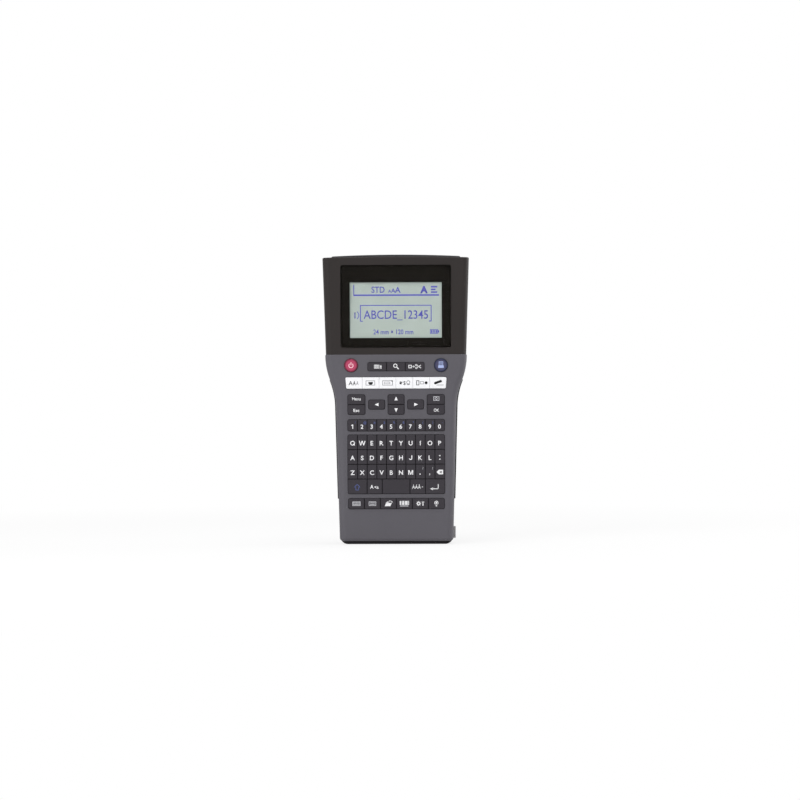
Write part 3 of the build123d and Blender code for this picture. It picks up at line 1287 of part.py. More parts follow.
def print_head():
    """Heat sink and print line that stand in the cassette's notch."""
    low, high = PRINT_Z - PRINT_HEAD_HEIGHT / 2, PRINT_Z + PRINT_HEAD_HEIGHT / 2
    back_x = NIP_RIGHT_X + PRINT_HEAD_THICK
    solid = block((NIP_RIGHT_X, back_x), (FLOOR_BACK_Y, TAPE_BACK_Y), (low, high))
    solid += block((back_x, back_x + PRINT_HEAD_FOOT), (FLOOR_BACK_Y, TAPE_FRONT_Y), (low, high))
    for number in range(PRINT_HEAD_FINS):
        middle = low + (number + 0.5) * PRINT_HEAD_HEIGHT / PRINT_HEAD_FINS
        fin = (middle - CONTACT_THICK, middle + CONTACT_THICK)
        solid += block((back_x, back_x + PRINT_HEAD_FOOT / 2), (FLOOR_BACK_Y, TAPE_BACK_Y), fin)
    return solid


def cassette_outline():
    """Front view of the cassette with the notch for the print head."""
    middle = (CASSETTE_LEFT_X + CASSETTE_WIDTH / 2, CASSETTE_FOOT_Z + CASSETTE_HEIGHT / 2)
    face = Pos(*middle) * RectangleRounded(CASSETTE_WIDTH, CASSETTE_HEIGHT, CASSETTE_CORNER)
    return face - Pos(CASSETTE_LEFT_X, PRINT_Z) * Rectangle(2 * NOTCH_WIDTH, NOTCH_HEIGHT)


def cassette_case():
    """Cassette tub and its lid."""
    outline = cassette_outline()
    lid_front = CASSETTE_BACK_Y - CASSETTE_WALL
    tub = slab(outline, CASSETTE_FRONT_Y, lid_front)
    tub -= slab(offset(outline, -CASSETTE_WALL), CASSETTE_FRONT_Y + CASSETTE_WALL, lid_front)
    tub -= disc(SPINDLE, CORE_HOLE_R, CASSETTE_FRONT_Y - PAST, CASSETTE_FRONT_Y + CASSETTE_WALL + PAST)
    lead_z = ROLL_Z - ROLL_R
    tub -= block(
        (CASSETTE_LEFT_X - PAST, CASSETTE_LEFT_X + 2 * CASSETTE_WALL),
        (TAPE_FRONT_Y - KEY_PLAY, TAPE_BACK_Y + KEY_PLAY),
        (lead_z - TAPE_SLOT / 2, lead_z + TAPE_SLOT / 2),
    )
    return [tub, slab(outline, lid_front, CASSETTE_BACK_Y)]


def label_tape():
    """Roll of tape and the strip led past the print head to the cutter."""
    roll = Pos(ROLL_X, ROLL_Z) * (Circle(ROLL_R) - Circle(ROLL_CORE_R))
    lead_z = ROLL_Z - ROLL_R
    lead = Rectangle(ROLL_X - TAPE_X + TAPE_THICK, TAPE_THICK)
    lead = Pos((ROLL_X + TAPE_X) / 2, lead_z + TAPE_THICK / 2) * lead
    end_z = PARTITION_Z + PARTITION
    run = Pos(TAPE_X, (lead_z + end_z) / 2) * Rectangle(TAPE_THICK, end_z - lead_z)
    return slab(roll + lead + run, TAPE_FRONT_Y, TAPE_BACK_Y)


def cutter_nodes():
    """Fixed blade, toothed moving blade, cutter motor and its pinion."""
    seat, top = BLADE_SEAT_Z, BLADE_SEAT_Z + BLADE_THICK
    fixed = block((NIP_RIGHT_X, NIP_RIGHT_X + BLADE_BED), (TAPE_FRONT_Y, TAPE_BACK_Y), (seat, top))
    edge = fixed.edges().filter_by(Axis.Y).group_by(Axis.X)[0].sort_by(Axis.Z)[0]
    fixed = chamfer(edge, BLADE_THICK / 2)
    low = top + BLADE_GAP
    blade_face = Pos(BLADE_PIVOT[0], (BLADE_PIVOT[1] + TAPE_BACK_Y) / 2)
    blade_face = blade_face * Rectangle(BLADE_WIDTH, TAPE_BACK_Y - BLADE_PIVOT[1])
    hub = Pos(*BLADE_PIVOT) * Circle(BLADE_HUB_R)
    reach = CLEAR
    half = math.radians(SECTOR_SPAN / 2)
    wedge = Polygon((0, 0), (reach, -reach * math.tan(half)), (reach, reach * math.tan(half)), align=None)
    phase = meshed_phase(CUTTER_MOTOR, 0, PINION_TEETH, BLADE_PIVOT, SECTOR_TEETH)
    teeth = gear_outline(SECTOR_TEETH, phase) & Rot(0, 0, CUTTER_ANGLE) * wedge
    sector = hub + Pos(*BLADE_PIVOT) * teeth
    turn = Pos(*BLADE_PIVOT) * Rot(0, 0, BLADE_OPEN) * Pos(-BLADE_PIVOT[0], -BLADE_PIVOT[1])
    moving = layer(turn * blade_face + hub, low, low + BLADE_THICK) + layer(sector, low, low + SECTOR_THICK)
    moving -= disc_along_z(BLADE_PIVOT, BLADE_PIVOT_R + RUNNING_FIT, low - PAST, low + SECTOR_THICK + PAST)
    motor_top = PARTITION_Z + PARTITION
    motor = disc_along_z(CUTTER_MOTOR, CUTTER_MOTOR_R, cutter_motor_foot(), motor_top)
    pinion = layer(Pos(*CUTTER_MOTOR) * gear_outline(PINION_TEETH, 0), low, low + SECTOR_THICK)
    pinion += disc_along_z(CUTTER_MOTOR, MOTOR_SHAFT_R, motor_top, low)
    return {"fixed_blade": fixed, "moving_blade": moving, "cutter_motor": motor, "cutter_pinion": pinion}


def write_node(name, shape):
    """Write one node's solids to its file."""
    solids = shape if isinstance(shape, list) else [shape]
    solids = [solid for item in solids for solid in item.solids()]
    export_step(Compound(children=solids) if len(solids) > 1 else solids[0], f"parts/{name}.step")


def build():
    """Every node of the label maker by name."""
    keys, groups = key_cells()
    nodes = {name: [key_solid(cell) for cell in cells] for name, cells in keys.items()}
    nodes["front_case"] = front_case(groups)
    nodes["head_cover"] = head_cover()
    nodes |= display_nodes()
    nodes["rear_case"] = rear_case()
    nodes["exit_cap"] = exit_cap()
    nodes["back_cover"] = back_cover()
    nodes["tape_viewer"] = slab(viewer_outline(0), HEAD_REAR_Y - VIEWER_THICK, HEAD_REAR_Y)
    nodes["cover_lever"] = cover_lever()
    nodes["side_grips"] = side_grips()
    nodes["case_screws"] = case_screws()
    nodes["dc_jack"] = dc_jack()
    nodes["usb_port"] = usb_port()
    nodes["main_board"] = main_board()
    nodes["keypad_mat"] = keypad_mat(keys, groups)
    nodes["batteries"] = battery_cells()
    nodes["battery_contacts"] = battery_contacts()
    nodes |= feed_gears()
    nodes["mech_plate"] = mech_plate()
    nodes["feed_motor"] = feed_motor()
    nodes["platen_roller"] = platen_roller()
    nodes["roller_holder"] = roller_holder()
    nodes["release_lever"] = release_lever()
    nodes["print_head"] = print_head()
    nodes["cassette_case"] = cassette_case()
    nodes["label_tape"] = label_tape()
    nodes |= cutter_nodes()
    return nodes


if __name__ == "__main__":
    os.makedirs("parts", exist_ok=True)
    for node_name, node_shape in build().items():
        write_node(node_name, node_shape)
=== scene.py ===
"""Looks of a handheld label maker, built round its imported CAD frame."""

import json
import logging
import math
from collections.abc import Iterable
from dataclasses import dataclass, field
from enum import Enum

import bmesh
import bpy
from mathutils import Matrix, Vector

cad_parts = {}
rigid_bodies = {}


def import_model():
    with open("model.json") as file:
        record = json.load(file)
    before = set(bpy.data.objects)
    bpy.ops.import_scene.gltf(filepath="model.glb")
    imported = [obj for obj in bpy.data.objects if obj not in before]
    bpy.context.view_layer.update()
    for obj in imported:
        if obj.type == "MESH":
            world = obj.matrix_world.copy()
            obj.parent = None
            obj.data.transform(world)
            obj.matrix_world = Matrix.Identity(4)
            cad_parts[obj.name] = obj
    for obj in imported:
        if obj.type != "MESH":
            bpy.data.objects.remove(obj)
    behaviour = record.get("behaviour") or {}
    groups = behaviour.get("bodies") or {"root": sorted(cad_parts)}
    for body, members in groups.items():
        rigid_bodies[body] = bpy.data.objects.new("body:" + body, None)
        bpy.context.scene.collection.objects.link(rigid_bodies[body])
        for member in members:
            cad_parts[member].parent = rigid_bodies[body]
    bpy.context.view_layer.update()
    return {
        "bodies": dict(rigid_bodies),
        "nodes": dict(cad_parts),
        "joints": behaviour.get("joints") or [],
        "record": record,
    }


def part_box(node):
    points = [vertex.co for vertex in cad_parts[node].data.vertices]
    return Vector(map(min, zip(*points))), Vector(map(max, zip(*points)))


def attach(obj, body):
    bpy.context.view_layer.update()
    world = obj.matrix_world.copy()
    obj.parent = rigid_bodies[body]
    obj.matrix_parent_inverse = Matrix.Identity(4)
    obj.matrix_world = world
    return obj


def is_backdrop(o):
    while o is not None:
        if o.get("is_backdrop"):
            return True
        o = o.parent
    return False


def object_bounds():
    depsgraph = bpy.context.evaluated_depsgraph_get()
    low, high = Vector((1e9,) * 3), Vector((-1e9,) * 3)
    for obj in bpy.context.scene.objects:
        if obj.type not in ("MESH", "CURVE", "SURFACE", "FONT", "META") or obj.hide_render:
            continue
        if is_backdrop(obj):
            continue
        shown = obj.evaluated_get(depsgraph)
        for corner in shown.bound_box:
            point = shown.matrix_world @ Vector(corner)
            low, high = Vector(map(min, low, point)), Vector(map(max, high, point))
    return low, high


LOG = logging.getLogger("label_maker")
MM = 0.001
Point = tuple[float, float]
Place = tuple[float, float, float]
Colour = tuple[int, int, int]
Tree = bpy.types.ShaderNodeTree


class Surface(Enum):
    """Kinds of surface that a finish can have."""

    MOULDED = "moulded"
    BRUSHED = "brushed"
    PIXELS = "pixels"
    RIMMED = "rimmed"
    BANDED = "banded"


@dataclass(frozen=True)
class Finish:
    """One finish: its colour in 0 to 255 steps, its gloss and the size of its texture."""

    name: str
    colour: Colour
    roughness: float = 0.55
    surface: Surface = Surface.MOULDED
    second: Colour = (255, 255, 255)
    specular: float = 0.3
    metallic: float = 0.0
    coat: float = 0.0
    transmission: float = 0.0
    refraction: float = 1.46
    emission: float = 0.0
    grain: float = 2600.0
    depth: float = 0.00002
    mottle: float = 0.06
    centre: Point = (0.0, 0.0)


CASE_FRONT = Finish("front_panel_plastic", (87, 85, 91), 0.52)
HEAD_SHELL = Finish("head_plastic", (47, 43, 42), 0.45, specular=0.16)
CASE_REAR = Finish("rear_plastic", (46, 44, 47), 0.6, depth=0.00004, grain=1800.0)
DARK_TRIM = Finish("trim_plastic", (30, 29, 33), 0.45)
GRIP_RUBBER = Finish("grip_rubber", (34, 33, 36), 0.78, depth=0.00003, grain=3400.0)
KEY_GREY = Finish("key_rubber", (56, 53, 58), 0.66, grain=3200.0, specular=0.2)
KEY_WHITE = Finish("pale_key_plastic", (240, 240, 243), 0.5, mottle=0.02)
KEY_MAT = Finish("key_mat_rubber", (70, 70, 72), 0.8)
BOARD = Finish("board_lacquer", (28, 80, 54), 0.35, coat=0.3)
SOCKET = Finish("socket_plastic", (160, 158, 160), 0.5)
GEAR_PLASTIC = Finish("gear_plastic", (226, 222, 208), 0.4)
CASSETTE = Finish("cassette_plastic", (198, 199, 201), 0.45)
TAPE = Finish("label_tape", (245, 245, 243), 0.3, mottle=0.02, coat=0.2)
ROLLER = Finish("roller_rubber", (44, 44, 46), 0.7)
LIGHT_BOX = Finish("light_box_plastic", (232, 233, 228), 0.4)
STEEL = Finish("plated_steel", (176, 178, 181), 0.34, Surface.BRUSHED, metallic=1.0, specular=0.5)
MOTOR_CAN = Finish("motor_can_steel", (158, 160, 164), 0.28, Surface.BRUSHED, metallic=1.0, specular=0.5)
CONTACT = Finish("contact_steel", (200, 194, 180), 0.25, Surface.BRUSHED, metallic=1.0, specular=0.5)
HEAT_SINK = Finish("heat_sink_metal", (190, 192, 194), 0.4, Surface.BRUSHED, metallic=1.0, specular=0.5)
CELL = Finish("cell_sleeve", (74, 98, 124), 0.3, Surface.BANDED, (196, 200, 204), coat=0.4)
KEY_RED = Finish(
    "power_key_plastic", (175, 66, 97), 0.36, Surface.RIMMED, (112, 36, 58), centre=(-35.6, 142.0)
)
KEY_BLUE = Finish(
    "print_key_plastic", (69, 68, 95), 0.36, Surface.RIMMED, (40, 44, 68), centre=(35.6, 142.0)
)
WINDOW = Finish("window_clear", (250, 250, 250), 0.03, specular=0.08, transmission=1.0, refraction=1.1)
VIEWER = Finish("viewer_smoke", (182, 187, 190), 0.06, specular=0.4, transmission=1.0, refraction=1.46)
BORDER = Finish("window_border_print", (24, 22, 19), 0.6, specular=0.02, depth=0.0)
# The display glows a little by itself: a painted glow that stands in for the lamp light the window keeps
# from it.
LCD = Finish(
    "display_glass_painted_glow", (170, 181, 174), 0.4, Surface.PIXELS, (162, 173, 167), emission=0.15, specular=0.1
)
LCD_INK = Finish("display_dots", (84, 84, 186), 0.4, Surface.PIXELS, (104, 106, 190), specular=0.1)
INK_WHITE = Finish("legend_white", (238, 238, 240), 0.5, mottle=0.02)
INK_SOFT = Finish("legend_soft_grey", (192, 192, 197), 0.5, mottle=0.02)
INK_BLUE = Finish("legend_blue", (80, 90, 138), 0.5, mottle=0.02)
INK_BLACK = Finish("legend_black", (30, 30, 32), 0.5, mottle=0.02)
INK_GREY = Finish("legend_grey", (126, 126, 130), 0.5, mottle=0.02)
INK_PINK = Finish("legend_pink", (250, 206, 214), 0.5, mottle=0.02)
INK_SKY = Finish("legend_sky", (168, 182, 226), 0.5, mottle=0.02)
INK_DARK = Finish("legend_key_dark", (57, 54, 59), 0.66, mottle=0.02)

SLOT_FINISH: dict[str, Finish] = {
    "case_front": CASE_FRONT,
    "head_shell": HEAD_SHELL,
    "case_rear": CASE_REAR,
    "dark_trim": DARK_TRIM,
    "grip_rubber": GRIP_RUBBER,
    "window": WINDOW,
    "viewer": VIEWER,
    "lcd": LCD,
    "light_box": LIGHT_BOX,
    "key_grey": KEY_GREY,
    "key_white": KEY_WHITE,
    "key_red": KEY_RED,
    "key_blue": KEY_BLUE,
    "key_mat": KEY_MAT,
    "board": BOARD,
    "steel": STEEL,
    "motor_can": MOTOR_CAN,
    "gear_plastic": GEAR_PLASTIC,
    "aluminium": HEAT_SINK,
    "cell": CELL,
    "contact": CONTACT,
    "cassette": CASSETTE,
    "tape": TAPE,
    "roller_rubber": ROLLER,
    "socket": SOCKET,
}


def moved(points: Iterable[Point], x: float, y: float) -> list[Point]:
    """Shift points on a face.

    Args:
        points: The points.
        x: Shift across the face.
        y: Shift up the face.

    Returns:
        The shifted points.
    """
    return [(x + across, y + up) for across, up in points]


def linear(colour: Colour) -> tuple[float, float, float, float]:
    """Turn a colour in 0 to 255 steps into scene-linear values.

    Args:
        colour: Red, green and blue as they are seen on a screen.

    Returns:
        The linear colour with an alpha of 1.
    """
    steps = [value / 255 for value in colour]
    parts = [step / 12.92 if step <= 0.04045 else ((step + 0.055) / 1.055) ** 2.4 for step in steps]
    return (parts[0], parts[1], parts[2], 1.0)


class NodeGroups:
    """Shader effects that several finishes share, each built once as a node group."""

    fine_layers = 2.0
    broad_layers = 3.0
    speck_share = 0.6
    gloss_share = 0.3
    dot_gap = 0.2
    band_start = 0.72

    def __init__(self) -> None:
        """Build the groups."""
        self.grain = self._textured("moulded_grain", (1.0, 1.0, 1.0), 42.0)
        self.brushed = self._textured("brushed_lines", (1.0, 1.0, 0.04), 60.0)
        self.pixels = self._pixels()
        self.rim = self._rim()
        self.bands = self._bands()

    @staticmethod
    def _start(name: str, inputs: dict[str, str], outputs: dict[str, str]) -> Tree:
        """Make an empty group with its sockets.

        Args:
            name: Name of the group.
            inputs: Socket types by input name.
            outputs: Socket types by output name.

        Returns:
            The new group with an input and an output node.
        """
        tree = bpy.data.node_groups.new(name, "ShaderNodeTree")
        for title, kind in inputs.items():
            tree.interface.new_socket(name=title, in_out="INPUT", socket_type=kind)
        for title, kind in outputs.items():
            tree.interface.new_socket(name=title, in_out="OUTPUT", socket_type=kind)
        tree.nodes.new("NodeGroupInput").name = "in"
        tree.nodes.new("NodeGroupOutput").name = "out"
        return tree

    @staticmethod
    def _math(tree: Tree, operation: str, first: object, second: object) -> object:
        """Add a math node.

        Args:
            tree: Group that gets the node.
            operation: Name of the operation.
            first: Output socket or number.
            second: Output socket or number.

        Returns:
            The node's output socket.
        """
        node = tree.nodes.new("ShaderNodeMath")
        node.operation = operation
        for socket, value in zip(node.inputs, (first, second)):
            if isinstance(value, (int, float)):
                socket.default_value = value
            else:
                tree.links.new(value, socket)
        return node.outputs[0]

    def _noise(self, tree: Tree, vector: object, scale: object, detail: float) -> object:
        """Add a noise texture.

        Args:
            tree: Group that gets the node.
            vector: Output socket with the coordinates.
            scale: Output socket or number.
            detail: Number of finer layers.

        Returns:
            The noise value's output socket.
        """
        node = tree.nodes.new("ShaderNodeTexNoise")
        node.inputs["Detail"].default_value = detail
        tree.links.new(vector, node.inputs["Vector"])
        if isinstance(scale, (int, float)):
            node.inputs["Scale"].default_value = scale
        else:
            tree.links.new(scale, node.inputs["Scale"])
        return node.outputs[0]

    def _shaded(self, tree: Tree, colour: object, amount: object) -> object:
        """Multiply a colour by a changing amount.

        Args:
            tree: Group that gets the node.
            colour: Output socket with the colour.
            amount: Output socket with the factor.

        Returns:
            The shaded colour's output socket.
        """
        node = tree.nodes.new("ShaderNodeVectorMath")
        node.operation = "SCALE"
        tree.links.new(colour, node.inputs[0])
        tree.links.new(amount, node.inputs["Scale"])
        return node.outputs[0]

    def _textured(self, name: str, stretch: Place, coarse: float) -> Tree:
        """Build a group of fine grain and broad shading.

        Args:
            name: Name of the group.
            stretch: Scale of the fine grain along each axis; a small one draws it out into lines.
            coarse: Scale of the broad shading.

        Returns:
            The finished group.
        """
        inputs = {
            "Vector": "NodeSocketVector",
            "Color": "NodeSocketColor",
            "Roughness": "NodeSocketFloat",
            "Scale": "NodeSocketFloat",
            "Mottle": "NodeSocketFloat",
        }
        outputs = {"Color": "NodeSocketColor", "Roughness": "NodeSocketFloat", "Height": "NodeSocketFloat"}
        tree = self._start(name, inputs, outputs)
        given = tree.nodes["in"].outputs
        taken = tree.nodes["out"].inputs
        mapping = tree.nodes.new("ShaderNodeMapping")
        mapping.inputs["Scale"].default_value = stretch
        tree.links.new(given["Vector"], mapping.inputs["Vector"])
        fine = self._noise(tree, mapping.outputs[0], given["Scale"], self.fine_layers)
        broad = self._noise(tree, given["Vector"], coarse, self.broad_layers)
        swing = self._math(tree, "SUBTRACT", broad, 0.5)
        speck = self._math(tree, "MULTIPLY", self._math(tree, "SUBTRACT", fine, 0.5), self.speck_share)
        change = self._math(tree, "ADD", swing, speck)
        both = self._math(tree, "MULTIPLY", change, given["Mottle"])
        amount = self._math(tree, "ADD", self._math(tree, "MULTIPLY", both, 2.0), 1.0)
        tree.links.new(self._shaded(tree, given["Color"], amount), taken["Color"])
        share = self._math(tree, "MULTIPLY", change, self.gloss_share)
        gloss = self._math(tree, "MULTIPLY", given["Roughness"], self._math(tree, "ADD", share, 1.0))
        tree.links.new(gloss, taken["Roughness"])
        tree.links.new(fine, taken["Height"])
        return tree

    def _pixels(self) -> Tree:
        """Grid of display dots with thin lines between them."""
        inputs = {"Vector": "NodeSocketVector", "Pitch": "NodeSocketFloat"}
        tree = self._start("dot_grid", inputs, {"Mask": "NodeSocketFloat"})
        split = tree.nodes.new("ShaderNodeSeparateXYZ")
        tree.links.new(tree.nodes["in"].outputs["Vector"], split.inputs[0])
        lines = []
        for axis in ("X", "Z"):
            step = self._math(tree, "DIVIDE", split.outputs[axis], tree.nodes["in"].outputs["Pitch"])
            lines.append(self._math(tree, "LESS_THAN", self._math(tree, "FRACT", step, 0.0), self.dot_gap))
        tree.links.new(self._math(tree, "MAXIMUM", *lines), tree.nodes["out"].inputs["Mask"])
        return tree

    def _rim(self) -> Tree:
        """Darker rim round a round key."""
        inputs = {"Vector": "NodeSocketVector", "Inner": "NodeSocketFloat", "Outer": "NodeSocketFloat"}
        tree = self._start("round_rim", inputs, {"Mask": "NodeSocketFloat"})
        given = tree.nodes["in"].outputs
        flat = tree.nodes.new("ShaderNodeVectorMath")
        flat.operation = "MULTIPLY"
        flat.inputs[1].default_value = (1.0, 0.0, 1.0)
        tree.links.new(given["Vector"], flat.inputs[0])
        reach = tree.nodes.new("ShaderNodeVectorMath")
        reach.operation = "LENGTH"
        tree.links.new(flat.outputs[0], reach.inputs[0])
        fade = tree.nodes.new("ShaderNodeMapRange")
        fade.interpolation_type = "SMOOTHSTEP"
        tree.links.new(reach.outputs["Value"], fade.inputs["Value"])
        tree.links.new(given["Inner"], fade.inputs["From Min"])
        tree.links.new(given["Outer"], fade.inputs["From Max"])
        tree.links.new(fade.outputs[0], tree.nodes["out"].inputs["Mask"])
        return tree

    def _bands(self) -> Tree:
        """Coloured band along part of every cell's length."""
        inputs = {"Vector": "NodeSocketVector", "Start": "NodeSocketFloat", "Length": "NodeSocketFloat"}
        tree = self._start("cell_bands", inputs, {"Mask": "NodeSocketFloat"})
        given = tree.nodes["in"].outputs
        split = tree.nodes.new("ShaderNodeSeparateXYZ")
        tree.links.new(given["Vector"], split.inputs[0])
        above = self._math(tree, "SUBTRACT", split.outputs["Z"], given["Start"])
        share = self._math(tree, "FRACT", self._math(tree, "DIVIDE", above, given["Length"]), 0.0)
        mask = self._math(tree, "GREATER_THAN", share, self.band_start)
        tree.links.new(mask, tree.nodes["out"].inputs["Mask"])
        return tree


@dataclass
class FinishShop:
    """Makes one material for each finish, with the sizes of its patterns in millimetres."""

    groups: NodeGroups
    bump_strength: float = 0.5
    dot_pitch: float = 0.42
    rim_inner: float = 3.5
    rim_outer: float = 4.9
    cell_foot: float = 16.2
    cell_length: float = 50.5
    made: dict[str, bpy.types.Material] = field(default_factory=dict)

    def material(self, finish: Finish) -> bpy.types.Material:
        """Give a finish's material, made on first use.

        Args:
            finish: The finish that is wanted.

        Returns:
            Its material.
        """
        if finish.name not in self.made:
            self.made[finish.name] = self._make(finish)
        return self.made[finish.name]

    def _make(self, finish: Finish) -> bpy.types.Material:
        """Build the nodes of one finish.

        Args:
            finish: The finish that is wanted.

        Returns:
            The new material.
        """
        material = bpy.data.materials.new(finish.name)
        material.use_nodes = True
        tree = material.node_tree
        shader = tree.nodes["Principled BSDF"]
        shader.inputs["Metallic"].default_value = finish.metallic
        shader.inputs["Specular IOR Level"].default_value = finish.specular
        shader.inputs["IOR"].default_value = finish.refraction
        shader.inputs["Coat Weight"].default_value = finish.coat
        shader.inputs["Transmission Weight"].default_value = finish.transmission
        place = tree.nodes.new("ShaderNodeTexCoord").outputs["Object"]
        brushed = finish.surface is Surface.BRUSHED
        grain = tree.nodes.new("ShaderNodeGroup")
        grain.node_tree = self.groups.brushed if brushed else self.groups.grain
        grain.inputs["Roughness"].default_value = finish.roughness
        grain.inputs["Scale"].default_value = finish.grain
        grain.inputs["Mottle"].default_value = finish.mottle
        tree.links.new(place, grain.inputs["Vector"])
        self._tint(tree, finish, place, grain.inputs["Color"])
        tree.links.new(grain.outputs["Color"], shader.inputs["Base Color"])
        if finish.transmission:
            shader.inputs["Roughness"].default_value = finish.roughness
        else:
            tree.links.new(grain.outputs["Roughness"], shader.inputs["Roughness"])
        # A finish with emission glows by itself; on the display this glow is painted light.
        if finish.emission:
            tree.links.new(grain.outputs["Color"], shader.inputs["Emission Color"])
            shader.inputs["Emission Strength"].default_value = finish.emission
        if finish.depth and not finish.transmission:
            bump = tree.nodes.new("ShaderNodeBump")
            bump.inputs["Strength"].default_value = self.bump_strength
            bump.inputs["Distance"].default_value = finish.depth
            tree.links.new(grain.outputs["Height"], bump.inputs["Height"])
            tree.links.new(bump.outputs[0], shader.inputs["Normal"])
        return material

    def _tint(self, tree: bpy.types.NodeTree, finish: Finish, place: object, target: object) -> None:
        """Feed a finish's colour, or its pattern of two colours, to a socket.

        Args:
            tree: The material's nodes.
            finish: The finish that is wanted.
            place: Output socket with the coordinates.
            target: Input socket that takes the colour.
        """
        masks = {
            Surface.PIXELS: (self.groups.pixels, {"Pitch": self.dot_pitch}),
            Surface.RIMMED: (self.groups.rim, {"Inner": self.rim_inner, "Outer": self.rim_outer}),
            Surface.BANDED: (self.groups.bands, {"Start": self.cell_foot, "Length": self.cell_length}),
        }
        if finish.surface not in masks:
            target.default_value = linear(finish.colour)
            return
        group, values = masks[finish.surface]
        mask = tree.nodes.new("ShaderNodeGroup")
        mask.node_tree = group
        for title, value in values.items():
            mask.inputs[title].default_value = value * MM
        shift = tree.nodes.new("ShaderNodeMapping")
        shift.inputs["Location"].default_value = (-finish.centre[0] * MM, 0.0, -finish.centre[1] * MM)
        tree.links.new(place, shift.inputs["Vector"])
        tree.links.new(shift.outputs[0], mask.inputs["Vector"])
        mix = tree.nodes.new("ShaderNodeMix")
        mix.data_type = "RGBA"
        for socket in mix.inputs:
            if socket.type == "RGBA":
                socket.default_value = linear(finish.colour if socket.name == "A" else finish.second)
        tree.links.new(mask.outputs[0], mix.inputs["Factor"])
        tree.links.new([socket for socket in mix.outputs if socket.type == "RGBA"][0], target)


@dataclass(frozen=True)
class FacePlane:
    """A face of the case that takes print: its origin in millimetres, its up and the sign of its right."""

    origin: Place
    up: Place
    right: int = 1

    def matrix(self) -> Matrix:
        """Give the turn and shift from the face's own plane to the case.

        Returns:
            The matrix, from millimetres on the face to millimetres in the case.
        """
        right = Vector((self.right, 0, 0))
        up = Vector(self.up).normalized()
        outward = right.cross(up)
        turn = Matrix((right, up, outward)).transposed().to_4x4()
        return Matrix.Translation(self.origin) @ turn


KEY_TOP = FacePlane((0, -24.644, 0), (0, 0, 1))
HEAD_LEAN = math.radians(4)
HEAD_UP = (0, -math.sin(HEAD_LEAN), math.cos(HEAD_LEAN))
HEAD_FACE = FacePlane((0, -23.144, 150.5), HEAD_UP)


